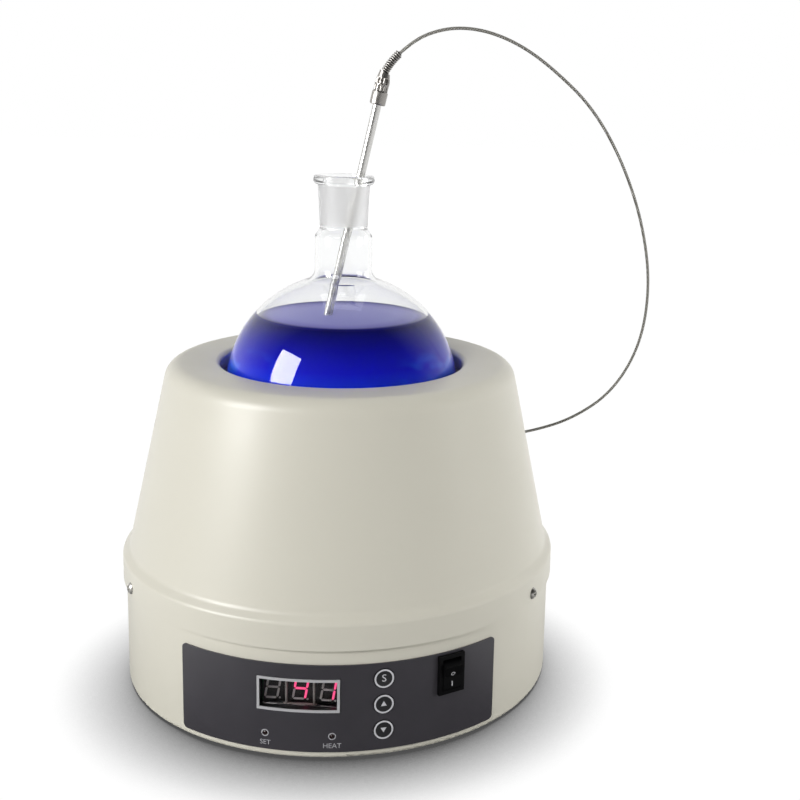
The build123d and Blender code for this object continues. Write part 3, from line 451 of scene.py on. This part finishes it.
def joined(shapes):
    # several (points, faces) shapes as one
    points, faces, start = [], [], 0
    for shapePoints, shapeFaces in shapes:
        points.append(shapePoints)
        faces += [[i + start for i in f] for f in shapeFaces]
        start += len(shapePoints)
    return np.concatenate(points), faces


def addTurned(name, profile, steps, finish, closed=False, body="mantle"):
    grid = turnedSurface(profile, steps)
    rows, columns = grid.shape[:2]
    return addMesh(name, grid.reshape(-1, 3), gridFaces(rows, columns, closed, True), finish, body)


def addTube(name, path, radius, sides, finish, body="mantle"):
    # point(t, a) = path(t) + r (n(t) cos a + b(t) sin a), with n kept across the line's own bend
    path = np.asarray(path, float)
    along = np.gradient(path, axis=0)
    along /= np.linalg.norm(along, axis=1, keepdims=True)
    guide = np.array([0.0, 1.0, 0.0]) if abs(along[:, 1]).max() < 0.9 else np.array([0.31, 0.2, 0.93])
    normal = np.cross(along, guide)
    normal /= np.linalg.norm(normal, axis=1, keepdims=True)
    binormal = np.cross(along, normal)
    angle = np.linspace(0, 2 * np.pi, sides, endpoint=False)[None, :, None]
    radius = np.broadcast_to(radius, len(path))[:, None, None]
    grid = path[:, None] + radius * (normal[:, None] * np.cos(angle) + binormal[:, None] * np.sin(angle))
    rows, columns = grid.shape[:2]
    points = grid.reshape(-1, 3) * mm
    return addMesh(name, points, tubeFaces(rows, columns), finish, body)


# sensor lead: the CAD's own corners, gland end first
leadSettings = {
    "diameter": 1.8 * mm,
    "length": 0.438,
}
leadRoute = [
    (29.664, 0.0, 350.134), (36.295, 0.0, 356.219), (46.6, 0.5, 361.8), (61.1, 2.0, 365.1),
    (78.8, 5.0, 363.6), (98.2, 9.5, 356.5), (117.6, 15.0, 344.2), (142.5, 25.0, 323.8),
    (164.2, 37.5, 293.4), (182.6, 53.0, 255.0), (193.8, 69.0, 213.3), (193.2, 82.5, 171.5),
    (178.2, 92.0, 137.5), (152.8, 97.0, 117.6), (125.6, 96.0, 109.4), (104.587, 87.759, 109.066),
    (95.601, 80.219, 106.533),
]


def makeLead():
    points = [tuple(c * mm for c in p) for p in reversed(leadRoute)]
    data = bpy.data.curves.new("sensorLead", "CURVE")
    data.dimensions = "3D"
    spline = data.splines.new("NURBS")
    spline.points.add(len(points) - 1)
    for point, place in zip(spline.points, points):
        point.co = (*place, 1)
    spline.order_u = 3
    spline.use_endpoint_u = True
    spline.resolution_u = 14
    data.bevel_depth = leadSettings["diameter"] / 2
    data.bevel_resolution = 4
    data.use_fill_caps = True
    piece = bpy.data.objects.new("sensorLead", data)
    bpy.context.scene.collection.objects.link(piece)
    data.materials.append(materials["braid"])
    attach(piece, "mantle")
    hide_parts("sensor_lead")


makeLead()
print("sensor lead made")

# upper shell
shellSettings = {
    "corners": ((68.2, 171.0), (68.2, 179.8), (96.7, 179.8), (118.9, 77.0), (122.8, 73.2), (122.8, 59.5)),
    "rounds": (3.0, 9.5, 5.0, 3.0),
    "wall": 1.5,
    "steps": 240,
}


def makeUpperShell():
    # the outline with rounded corners, and the same outline moved inwards by the wall
    outer = roundedOutline(shellSettings["corners"], shellSettings["rounds"], 12)
    inner = shifted(outer, shellSettings["wall"])
    profile = np.concatenate([outer, inner[::-1]]) * mm
    shell = addTurned("upperShell", profile, shellSettings["steps"], "ivory_paint", closed=True)
    sharpen(shell, 40)
    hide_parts("upper_shell")


makeUpperShell()
print("shell made")

# flask: ball with a blended neck, a ground joint and a lip; two outlines, outside and inside
flaskSettings = {
    "ball": 65.5, "centre": 162.7, "wall": 2.0, "neck": 15.9, "blend": 7.0, "neckTop": 250.0,
    "jointFoot": 254.5, "jointTop": 283.5, "boreTop": 12.0, "taper": 0.05, "jointWall": 2.6,
    "neckFoot": 237.7, "lip": 16.9, "lipTall": 4.6, "lipSlope": (0.6, 0.4), "level": 205.0, "steps": 128,
}


def ballLine(ball, neck, blend, centre, count=60):
    # pole to blend on the ball, then the blend's arc up to the neck
    reach = neck + blend
    rise = math.sqrt((ball + blend) ** 2 - reach ** 2)
    touch = math.degrees(math.atan2(rise, reach))
    body = arcPoints((0, centre), ball, -90, touch, count)
    return np.concatenate([body, arcPoints((reach, centre + rise), blend, 180 + touch, 180, 10)[1:]])


def jointRadius(height):
    return flaskSettings["boreTop"] - flaskSettings["taper"] * (flaskSettings["jointTop"] - height)


def makeFlask():
    s = flaskSettings
    outside = ballLine(s["ball"], s["neck"], s["blend"], s["centre"])
    inside = ballLine(s["ball"] - s["wall"], s["neck"] - s["wall"], s["blend"] + s["wall"], s["centre"])
    lipFoot, (below, above) = s["jointTop"] - s["lipTall"], s["lipSlope"]
    rim = roundedOutline(
        (
            (s["neck"], s["neckFoot"]), (s["neck"], s["neckTop"]),
            (jointRadius(s["jointFoot"]) + s["jointWall"], s["jointFoot"]),
            (jointRadius(lipFoot) + s["jointWall"], lipFoot - below),
            (s["lip"], lipFoot + above), (s["lip"], s["jointTop"]),
            (s["boreTop"], s["jointTop"]), (jointRadius(s["jointFoot"]), s["jointFoot"]),
            (s["neck"] - s["wall"], s["neckTop"]), (s["neck"] - s["wall"], s["neckFoot"]),
        ),
        (2.0, 2.0, 1.2, 1.2, 1.6, 0.8, 2.0, 2.0), 6,
    )
    profile = np.concatenate([outside, rim, inside[::-1]])
    profile[[0, -1], 0] = 0
    glass = addTurned("flaskGlass", profile * mm, s["steps"], "clear_glass")
    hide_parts("flask")


makeFlask()

# liquid: fills the ball up to its level, with a rim that climbs a little at the glass
liquidSettings = {"reach": 63.8, "climbAngle": 0.7, "climbWide": 1.8, "steps": 128}


def makeLiquid():
    s, ball = liquidSettings, flaskSettings
    level = ball["level"] - ball["centre"]
    edge = math.degrees(math.asin(level / s["reach"]))
    side = arcPoints((0, ball["centre"]), s["reach"], -90, edge + s["climbAngle"], 64)
    share = np.linspace(0, 1, 14)
    radius = side[-1, 0] * (1 - share) ** 1.6
    # height(r) = level + climb exp(-distance from the glass / climbWide), where climb is how
    # far the side's last point stands above the level
    height = ball["level"] + (side[-1, 1] - ball["level"]) * np.exp(-(side[-1, 0] - radius) / s["climbWide"])
    profile = np.concatenate([side, np.stack([radius, height], -1)[1:]])
    profile[[0, -1], 0] = 0
    liquid = addTurned("blueLiquid", profile * mm, s["steps"], "blue_liquid")
    sharpen(liquid, 50)
    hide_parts("flask_liquid")


makeLiquid()
print("flask and liquid made")

# heating bowl: knitted rows on the inside of a half ball, with a flat collar
bowlSettings = {
    "crest": 65.8, "outer": 70.4, "centre": 162.7, "top": 170.7, "bottom": 167.2, "width": 82.95,
    "rows": 26, "stitches": 110, "around": 480, "down": 100, "depth": 0.55, "fade": 0.25,
}


def makeBowl():
    # radius(a, t) = crest + depth (1 - |sin(pi rows t)| (0.55 + 0.45 |sin(stitches a / 2 + skew)|)),
    # which fades out at the bottom of the bowl
    s = bowlSettings
    around = np.linspace(0, 2 * np.pi, s["around"], endpoint=False)[None, :]
    down = np.linspace(0.02, np.pi / 2, s["down"])[:, None]
    row = down / (np.pi / 2) * s["rows"]
    skew = np.pi * (np.floor(row) % 2) / 2
    knit = np.abs(np.sin(np.pi * row)) * (0.55 + 0.45 * np.abs(np.sin(s["stitches"] * around / 2 + skew)))
    fade = np.clip(down / s["fade"], 0, 1)
    radius = s["crest"] + s["depth"] * (1 - knit * fade)
    inner = np.stack([
        radius * np.sin(down) * np.sin(around), -radius * np.sin(down) * np.cos(around),
        s["centre"] - radius * np.cos(down) + 0 * around,
    ], -1)
    straight = [
        (s["crest"] + s["depth"], s["top"]), (s["width"], s["top"]), (s["width"], s["bottom"]),
        (s["outer"], s["bottom"]), (s["outer"], s["centre"]),
    ]
    back = arcPoints((0, s["centre"]), s["outer"], 0, -89, 24)
    shell = turnedSurface(np.concatenate([np.array(straight), back]), s["around"])
    grid = np.concatenate([inner, shell])
    rows, columns = grid.shape[:2]
    bowl = addMesh("heatingBowl", grid.reshape(-1, 3) * mm, tubeFaces(rows, columns), "glass_cloth")
    sharpen(bowl, 50)
    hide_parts("heating_bowl")


makeBowl()
print("bowl made")

# probe head: a turned collar, two tiers of flutes and the spring above them
probeSettings = {
    "foot": (-29.6406, 0.0, 109.614), "lean": 12.56, "length": 217.8, "radius": 4.35, "bore": 2.45,
    "flutes": 10, "fluteDepth": 0.95, "collar": 7.0, "step": 0.35, "taper": 5.5, "tall": 18.0, "top": 2.9,
    "tiers": ((7.4, 11.0), (11.4, 15.0)),
}
reliefSettings = {
    "radius": 2.4, "wire": 0.5, "bend": 38.9, "lean": 15.5, "turn": 19.4, "coils": 10.5, "coilSteps": 26,
    "core": 1.5,
}


def probeFrame():
    # the probe's own directions: across in its plane of lean, straight back, and up along it
    lean = math.radians(probeSettings["lean"])
    across = np.array([math.cos(lean), 0, -math.sin(lean)])
    along = np.array([math.sin(lean), 0, math.cos(lean)])
    return np.array(probeSettings["foot"]), across, np.array([0.0, 1.0, 0.0]), along


def makeFerrule():
    # radius(a, h) = outline(h) - depth * within(h) * (1 - |cos(flutes a / 2 + stagger)|)^1.3,
    # and height(a, h) = min(h, tall - radius cos(a) tan(relief's lean)), the slanted top
    s = probeSettings
    foot, across, back, along = probeFrame()
    low, step, top = s["collar"], s["step"], s["tall"]
    height = np.concatenate([[0, 0, 0.5], np.linspace(0.6, top + 0.8, 96)])
    full, waist = s["radius"], s["radius"] - step
    outline = np.interp(
        height, [0, 0.5, low, low + 0.15, top - s["taper"], top, top + 0.8],
        [full - 0.5, full, full, waist, waist, s["top"], s["top"]],
    )
    outline[0] = s["bore"]
    angle = np.linspace(0, 2 * np.pi, 160, endpoint=False)[None, :]
    depth = 0
    for (start, end), stagger in zip(s["tiers"], (np.pi / 2, 0)):
        within = np.clip((height - start) / 0.5, 0, 1) * np.clip((end - height) / 0.5, 0, 1)
        groove = (1 - np.abs(np.cos(s["flutes"] * angle / 2 + stagger))) ** 1.3
        depth = depth + s["fluteDepth"] * within[:, None] * groove
    radius = outline[:, None] - depth
    slant = top - radius * np.cos(angle) * math.tan(math.radians(reliefSettings["lean"]))
    lift = np.minimum(height[:, None], slant)
    grid = foot + along * (s["length"] + lift)[..., None] + radius[..., None] * (
        across * np.cos(angle)[..., None] + back * np.sin(angle)[..., None]
    )
    rows, columns = grid.shape[:2]
    ferrule = addMesh("probeFerrule", grid.reshape(-1, 3) * mm, tubeFaces(rows, columns), "dull_steel")
    sharpen(ferrule, 38)
    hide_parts("probe_ferrule")


def reliefAxis(share):
    # points and directions on the spring's bent axis, for shares of its turn from 0 to 1
    foot, across, back, along = probeFrame()
    start = foot + along * (probeSettings["length"] + probeSettings["tall"])
    first = math.radians(reliefSettings["lean"])
    turn = first + np.radians(reliefSettings["turn"]) * np.asarray(share)[..., None]
    outward = along * np.sin(turn) - across * np.cos(turn)
    begin = along * math.sin(first) - across * math.cos(first)
    return start + reliefSettings["bend"] * (outward - begin), outward, back


def makeRelief():
    # wire(t) = axis(t) + r (outward cos(2 pi n t) + back sin(2 pi n t)), kept the wire's own
    # radius inside both ends
    s = reliefSettings
    inset = s["wire"] / (s["bend"] * math.radians(s["turn"]))
    share = np.linspace(inset, 1 - inset, int(s["coils"] * s["coilSteps"]))
    place, outward, back = reliefAxis(share)
    spin = (2 * np.pi * s["coils"] * share)[:, None]
    wire = place + (s["radius"] - s["wire"]) * (outward * np.cos(spin) + back * np.sin(spin))
    addTube("springRelief", wire, s["wire"], 8, "dull_steel")
    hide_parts("spring_relief")
    addTube("reliefSleeve", reliefAxis(np.linspace(0, 1, 16))[0], s["core"], 16, "black_plastic")


makeFerrule()
makeRelief()
print("probe head made")

# lead gland: threaded foot, flange and a ribbed nose that tapers to the lead
glandSettings = {
    "place": (86.6161, 72.6795, 104.0),
    "out": (0.748783, 0.628304, 0.211087), "side": (-0.642788, 0.766044, 0.0),
    "outline": (
        (0.0, -6.0), (4.0, -6.0), (4.0, 0.3), (6.5, 0.3), (6.5, 1.7), (6.0, 2.1), (4.2, 2.1), (3.9, 3.2),
        (3.2, 3.5), (3.2, 4.0), (3.7, 4.3), (3.4, 5.6), (2.8, 5.9), (2.8, 6.4), (3.1, 6.7), (2.9, 8.0),
        (2.4, 8.3), (2.4, 8.8), (2.6, 9.1), (2.2, 11.6), (1.9, 12.0), (0.0, 12.0),
    ),
}


def makeGland():
    s = glandSettings
    profile = np.array(s["outline"])
    out, side = np.array(s["out"]), np.array(s["side"])
    third = np.cross(out, side)
    angle = np.linspace(0, 2 * np.pi, 48, endpoint=False)[None, :, None]
    radius, height = profile[:, 0][:, None, None], profile[:, 1][:, None, None]
    grid = np.array(s["place"]) + out * height + radius * (side * np.cos(angle) + third * np.sin(angle))
    rows, columns = grid.shape[:2]
    faces = gridFaces(rows, columns, False, True)
    gland = addMesh("leadGland", grid.reshape(-1, 3) * mm, faces, "black_plastic")
    sharpen(gland, 30)
    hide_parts("sensor_gland")


makeGland()

# case screws: domed heads with a cross recess
screwSettings = {
    "azimuths": (-66.0, 58.0, 114.0, -122.0), "height": 63.6, "seat": 122.8, "head": 3.3, "rise": 2.0,
    "slot": 0.36, "slotLong": 1.9, "deep": 0.9, "shank": 1.9, "shankLong": 9.0, "around": 96,
}


def facing(azimuth):
    # the directions across and out of the drum's side: azimuth in degrees, 0 at the front and
    # growing to the right
    a = math.radians(azimuth)
    return np.array([math.cos(a), math.sin(a), 0]), np.array([math.sin(a), -math.cos(a), 0])


def makeScrews():
    # height(x, y) = dome(r) - deep inside the cross |x| < slot or |y| < slot, as far out as
    # slotLong, on a polar grid
    s = screwSettings
    ring = np.concatenate([[0.0], np.linspace(0.12, s["head"], 26)])[:, None]
    angle = np.linspace(0, 2 * np.pi, s["around"], endpoint=False)[None, :]
    x, y = ring * np.cos(angle), ring * np.sin(angle)
    ball = (s["head"] ** 2 + s["rise"] ** 2) / (2 * s["rise"])
    dome = np.sqrt(ball ** 2 - ring ** 2) - (ball - s["rise"]) + 0 * angle
    edge = np.minimum(np.abs(x), np.abs(y)) - s["slot"]
    sunk = np.clip(-edge / 0.12, 0, 1) * np.clip((s["slotLong"] - ring) / 0.15, 0, 1)
    top = dome - s["deep"] * sunk
    under = np.array([s["head"], s["shank"], s["shank"]])[:, None]
    x, y = np.concatenate([x, under * np.cos(angle)]), np.concatenate([y, under * np.sin(angle)])
    z = np.concatenate([top, np.zeros((2, s["around"])), np.full((1, s["around"]), -s["shankLong"])])
    rows, columns = x.shape
    faces, shapes = tubeFaces(rows, columns, start=False), []
    for azimuth in s["azimuths"]:
        right, out = facing(azimuth)
        points = x[..., None] * right + y[..., None] * np.array([0, 0, 1.0])
        points = points + (s["seat"] + z)[..., None] * out
        points[..., 2] += s["height"]
        shapes.append((points.reshape(-1, 3), faces))
    points, faces = joined(shapes)
    screws = addMesh("caseScrews", points * mm, faces, "bright_screw")
    sharpen(screws, 35)
    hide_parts("shell_screws")


makeScrews()
print("gland and screws made")

# display: three seven-bar digits, lit or unlit
displaySettings = {
    "azimuth": -9.9, "height": 35.2, "face": 113.85, "pitch": 14.1, "tall": 12.4, "wide": 7.3, "bar": 1.1,
    "gap": 0.25, "thick": 0.25, "slant": 10.0, "dot": 0.5, "dotGap": 0.3,
    "lit": ((), ("upperLeft", "middle", "upperRight", "lowerRight"), ("upperRight", "lowerRight")),
}


def prism(outline, low, high):
    # a flat outline carried from one depth to another: its points, and its side and end faces
    outline = np.asarray(outline, float)
    count = len(outline)
    points = np.concatenate([np.column_stack([outline, np.full(count, d)]) for d in (low, high)])
    n = np.arange(count)
    sides = np.stack([n, (n + 1) % count, (n + 1) % count + count, n + count], -1).tolist()
    return points, sides + [n[::-1].tolist(), (n + count).tolist()]


def makeDigits():
    s = displaySettings
    across, limb = s["wide"] - s["bar"], (s["tall"] - s["bar"]) / 2
    flat, upright = (0, 1), (1, 0)
    bars = {
        "top": (0, limb, flat, across), "middle": (0, 0, flat, across), "bottom": (0, -limb, flat, across),
        "upperLeft": (-across / 2, limb / 2, upright, limb),
        "upperRight": (across / 2, limb / 2, upright, limb),
        "lowerLeft": (-across / 2, -limb / 2, upright, limb),
        "lowerRight": (across / 2, -limb / 2, upright, limb),
    }
    right, out = facing(s["azimuth"])
    groups = {"litBars": [], "unlitBars": []}
    for digit in range(3):
        for name, (x, y, way, length) in bars.items():
            half, tip = length / 2 - s["gap"], s["bar"] / 2
            end = half - tip
            shape = np.array([(-half, 0), (-end, tip), (end, tip), (half, 0), (end, -tip), (-end, -tip)])
            if way == upright:
                shape = shape[:, ::-1] * (-1, 1)
            shape = shape + (x, y)
            shape[:, 0] += shape[:, 1] * math.tan(math.radians(s["slant"])) + (digit - 1) * s["pitch"]
            groups["litBars" if name in s["lit"][digit] else "unlitBars"].append(prism(shape, 0, s["thick"]))
        dotX = s["wide"] / 2 + s["dotGap"] + s["dot"] - limb * math.tan(math.radians(s["slant"]))
        dot = arcPoints((0, 0), s["dot"], 0, 337.5, 16) + ((digit - 1) * s["pitch"] + dotX, -limb)
        groups["unlitBars"].append(prism(dot, 0, s["thick"]))
    for group, shapes in groups.items():
        points, faces = joined(shapes)
        placedPoints = points[:, :1] * right + (s["face"] + points[:, 2:]) * out
        placedPoints[:, 2] += s["height"] + points[:, 1]
        finish = "lit_bars" if group == "litBars" else "display_bars"
        piece = addMesh(group, placedPoints * mm, faces, finish, smooth=False)
        if group == "unlitBars":
            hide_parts("display_segments")


makeDigits()
print("display made")

# printed marks: rings and signs on the keys, words and rings on the panel, O and I on the rocker
printSettings = {
    "panelFace": 121.85, "keyAzimuth": 10.3, "keyFace": 122.25,
    "keys": {"set_key": 43.3, "up_key": 29.5, "down_key": 15.5},
    "ringOut": 4.98, "ringIn": 4.12, "dish": 24.0, "dishDeep": 0.3, "lift": 0.03,
    "letter": 5.6, "triangle": ((-1.55, -1.1), (1.55, -1.1), (0, 1.5)),
    "words": (("SET", -17.75, 8.35, 3.65), ("HEAT", -1.8, 8.25, 3.75)),
    "lampRings": ((-17.8, 13.5), (-1.8, 13.5)), "lampRingOut": 1.95, "lampRingIn": 1.42,
}
rockerSettings = {
    "azimuth": 27.3, "height": 39.8, "pivot": 117.55, "crown": 6.5, "tilt": 11.0,
    "circle": (1.9, 1.15, 0.72), "bar": (-3.9, 2.7, 0.5),
}


def ringShape(inner, outer, count=48):
    # a flat ring as a strip of quads
    angle = np.linspace(0, 2 * np.pi, count, endpoint=False)
    circle = np.stack([np.cos(angle), np.sin(angle)], -1)
    n = np.arange(count)
    quads = np.stack([n, n + count, (n + 1) % count + count, (n + 1) % count], -1)
    return np.concatenate([circle * inner, circle * outer]), quads.tolist()


def wordShape(text, size):
    # the outline of a word as flat faces, centred on its own middle
    data = bpy.data.curves.new("word", "FONT")
    data.body, data.size, data.align_x, data.align_y = text, size, "CENTER", "CENTER"
    data.fill_mode = "FRONT"
    data.resolution_u = 3
    holder = bpy.data.objects.new("word", data)
    bpy.context.scene.collection.objects.link(holder)
    bpy.context.view_layer.update()
    mesh = bpy.data.meshes.new_from_object(holder.evaluated_get(bpy.context.evaluated_depsgraph_get()))
    points = np.empty(len(mesh.vertices) * 3)
    mesh.vertices.foreach_get("co", points)
    faces = [list(p.vertices) for p in mesh.polygons]
    bpy.data.objects.remove(holder)
    bpy.data.meshes.remove(mesh)
    return points.reshape(-1, 3)[:, :2], faces


def onPanel(flat, azimuth, height):
    # flat x runs round the panel, flat y up, at the printed face
    s = printSettings
    radius = s["panelFace"] + s["lift"]
    a = math.radians(azimuth) + flat[:, 0] / radius
    return np.stack([radius * np.sin(a), -radius * np.cos(a), height + flat[:, 1]], -1)


def onKey(flat, height):
    # flat points laid on the key's dished face: depth(r) = min(0, r^2 / 2R - deep)
    s = printSettings
    right, out = facing(s["keyAzimuth"])
    depth = np.minimum(0, (flat ** 2).sum(1) / (2 * s["dish"]) - s["dishDeep"])
    points = flat[:, :1] * right + (s["keyFace"] + s["lift"] + depth)[:, None] * out
    points[:, 2] += height + flat[:, 1]
    return points


def makePrint():
    s = printSettings
    triangle = np.array(s["triangle"])
    signs = {
        "set_key": wordShape("S", s["letter"]), "up_key": (triangle, [[0, 1, 2]]),
        "down_key": (triangle * (1, -1), [[0, 2, 1]]),
    }
    for body, height in s["keys"].items():
        flats = (ringShape(s["ringIn"], s["ringOut"]), signs[body])
        points, faces = joined([(onKey(p, height), f) for p, f in flats])
        addMesh(body.split("_")[0] + "KeyMark", points * mm, faces, "white_print", body=body, flat=True)
    shapes = []
    for text, azimuth, height, size in s["words"]:
        p, f = wordShape(text, size)
        shapes.append((onPanel(p, azimuth, height), f))
    for azimuth, height in s["lampRings"]:
        p, f = ringShape(s["lampRingIn"], s["lampRingOut"], 32)
        shapes.append((onPanel(p, azimuth, height), f))
    points, faces = joined(shapes)
    addMesh("panelPrint", points * mm, faces, "grey_print", flat=True)


def onRocker(flat):
    # flat x runs along the pivot, flat y up the face, which rises by tan(tilt) each way from its crown
    s = rockerSettings
    right, out = facing(s["azimuth"])
    t = math.radians(s["tilt"])
    y, z = flat[:, 1], s["crown"] + np.abs(flat[:, 1]) * math.tan(t) + printSettings["lift"]
    points = flat[:, :1] * right + (s["pivot"] + y * math.sin(t) + z * math.cos(t))[:, None] * out
    points[:, 2] += s["height"] + y * math.cos(t) - z * math.sin(t)
    return points


def makeRockerMarks():
    middle, outer, inner = rockerSettings["circle"]
    circle, circleFaces = ringShape(inner, outer, 32)
    low, tall, wide = rockerSettings["bar"]
    bar = np.array([(-wide, -tall), (wide, -tall), (wide, tall), (-wide, tall)]) / 2 + (0, low)
    points, faces = joined([(onRocker(circle + (0, middle)), circleFaces), (onRocker(bar), [[0, 1, 2, 3]])])
    addMesh("rockerMarks", points * mm, faces, "white_print", body="power_rocker", flat=True)


makePrint()
makeRockerMarks()
print("print made")

# the nodes that keep their own shape get their finish here
for entry in frame["record"]["subparts"]:
    node = nodes[entry["node"]]
    node.data.materials.clear()
    node.data.materials.append(materials[entry["material_slot"]])
print("finishes given")

# room: paper floor, white surround and lamps
room = {
    "floorSize": 6.0, "floorGrey": 0.65, "shadowReach": 0.07, "shadowLean": {"Y": 0.5, "Z": 0.87},
    "shadowRange": (0.35, 0.85), "shadowLevels": (0.08, 1.02),
    "glossyRange": (0.1, 0.24), "glossyLevels": (0.08, 1.1),
    "diffuseRange": (-0.1, 0.1), "diffuseHigh": 0.02, "diffuseLow": 0.6,
    "mirrorRange": (-0.15, 0.5), "mirrorFront": 0.06, "mirrorBack": 1.0,
    "lampDistance": 1.7, "lampAim": 0.12, "lampSize": 0.8,
    "windowPlace": (-1.31, -0.69, 0.75), "windowAim": (0, 0, 0.17), "windowSize": (0.68, 0.8),
    "windowPower": 36,
}


def addFloor():
    # white paper with a painted shadow where the object closes it in; glossy rays see it dim along the
    # middle and white to both sides; grey to the light it sends back
    material = newMaterial("floorPaper", (room["floorGrey"],) * 3, 0.9, 0.0, Specular_IOR_Level=0.0)
    lean = addNode(material, "ShaderNodeCombineXYZ", room["shadowLean"]).outputs["Vector"]
    # painted shadow: the paper's glow for camera rays is dimmed by how much the object closes it in
    clear = addNode(
        material, "ShaderNodeAmbientOcclusion", {"Distance": room["shadowReach"], "Normal": lean}, samples=24
    ).outputs["AO"]
    tone = rescaled(material, clear, *room["shadowRange"], *room["shadowLevels"])
    aside = maths(material, "ABSOLUTE", axesOf(material, placed(material))["X"])
    mirror = rescaled(material, aside, *room["glossyRange"], *room["glossyLevels"])
    path = addNode(material, "ShaderNodeLightPath").outputs
    camera, glossy, through = path["Is Camera Ray"], path["Is Glossy Ray"], path["Is Transmission Ray"]
    onlyGlossy = maths(material, "GREATER_THAN", glossy, through)
    level = addNode(material, "ShaderNodeMix", {"Factor": onlyGlossy, "A": tone, "B": mirror}).outputs[0]
    paper = addNode(material, "ShaderNodeEmission", {"Color": (1, 1, 1, 1), "Strength": level})
    seen = maths(material, "MAXIMUM", maths(material, "MAXIMUM", camera, through), glossy)
    mix = addNode(material, "ShaderNodeMixShader", {
        0: seen, 1: shaderOf(material).outputs["BSDF"], 2: paper.outputs["Emission"],
    })
    link(material, mix.outputs["Shader"], material.node_tree.nodes["Material Output"].inputs["Surface"])
    size = room["floorSize"]
    mesh = bpy.data.meshes.new("floor")
    corners = [(-size, -size, 0), (size, -size, 0), (size, size, 0), (-size, size, 0)]
    mesh.from_pydata(corners, [], [(0, 1, 2, 3)])
    mesh.materials.append(material)
    floor = bpy.data.objects.new("floor", mesh)
    bpy.context.scene.collection.objects.link(floor)


def addWorld():
    # camera rays see white; glossy and transmission rays see a dim front and a white back;
    # diffuse rays get one level from above and another from below
    world = bpy.data.worlds.new("studio")
    bpy.context.scene.world = world
    world.use_nodes = True
    path = addNode(world, "ShaderNodeLightPath").outputs
    way = axesOf(world, addNode(world, "ShaderNodeTexCoord").outputs["Generated"])
    diffuse = rescaled(world, way["Z"], *room["diffuseRange"], room["diffuseLow"], room["diffuseHigh"])
    mirror = rescaled(world, way["Y"], *room["mirrorRange"], room["mirrorFront"], room["mirrorBack"])
    sharp = maths(world, "MAXIMUM", path["Is Glossy Ray"], path["Is Transmission Ray"])
    indirect = addNode(world, "ShaderNodeMix", {"Factor": sharp, "A": diffuse, "B": mirror}).outputs[0]
    seen = {"Factor": path["Is Camera Ray"], "A": indirect, "B": 1.0}
    level = addNode(world, "ShaderNodeMix", seen).outputs[0]
    link(world, level, world.node_tree.nodes["Background"].inputs["Strength"])
    world.node_tree.nodes["Background"].inputs["Color"].default_value = (1, 1, 1, 1)


# soft lamps as (azimuth, elevation) in degrees and watts, all at one distance
softLamps = {
    "leftLamp": (-72, 12, 11.5), "rightLamp": (75, 12, 14), "rightRearLamp": (115, 12, 9),
    "topLamp": (180, 70, 3.5), "frontLamp": (-36, 32, 17.5),
}


def addLamp(name, place, target, size, power):
    data = bpy.data.lights.new(name, "AREA")
    data.shape = "RECTANGLE"
    data.size, data.size_y = size
    data.energy = power
    lamp = bpy.data.objects.new(name, data)
    bpy.context.scene.collection.objects.link(lamp)
    way = Vector(target) - Vector(place)
    lamp.matrix_world = Matrix.Translation(place) @ way.to_track_quat("-Z", "Y").to_matrix().to_4x4()
    return lamp


addFloor()
addWorld()
for name, (azimuth, elevation, power) in softLamps.items():
    a, e, away = math.radians(azimuth), math.radians(elevation), room["lampDistance"]
    aim = Vector((0, 0, room["lampAim"]))
    place = aim + away * Vector((math.sin(a) * math.cos(e), -math.cos(a) * math.cos(e), math.sin(e)))
    addLamp(name, place, aim, (room["lampSize"],) * 2, power).visible_glossy = False
# the window that the glass and metal mirror
window = addLamp(
    "windowLamp", room["windowPlace"], room["windowAim"], room["windowSize"], room["windowPower"]
)
window.visible_diffuse = window.visible_transmission = False
scene = bpy.context.scene
scene.view_settings.view_transform = "Standard"
print("scene made")
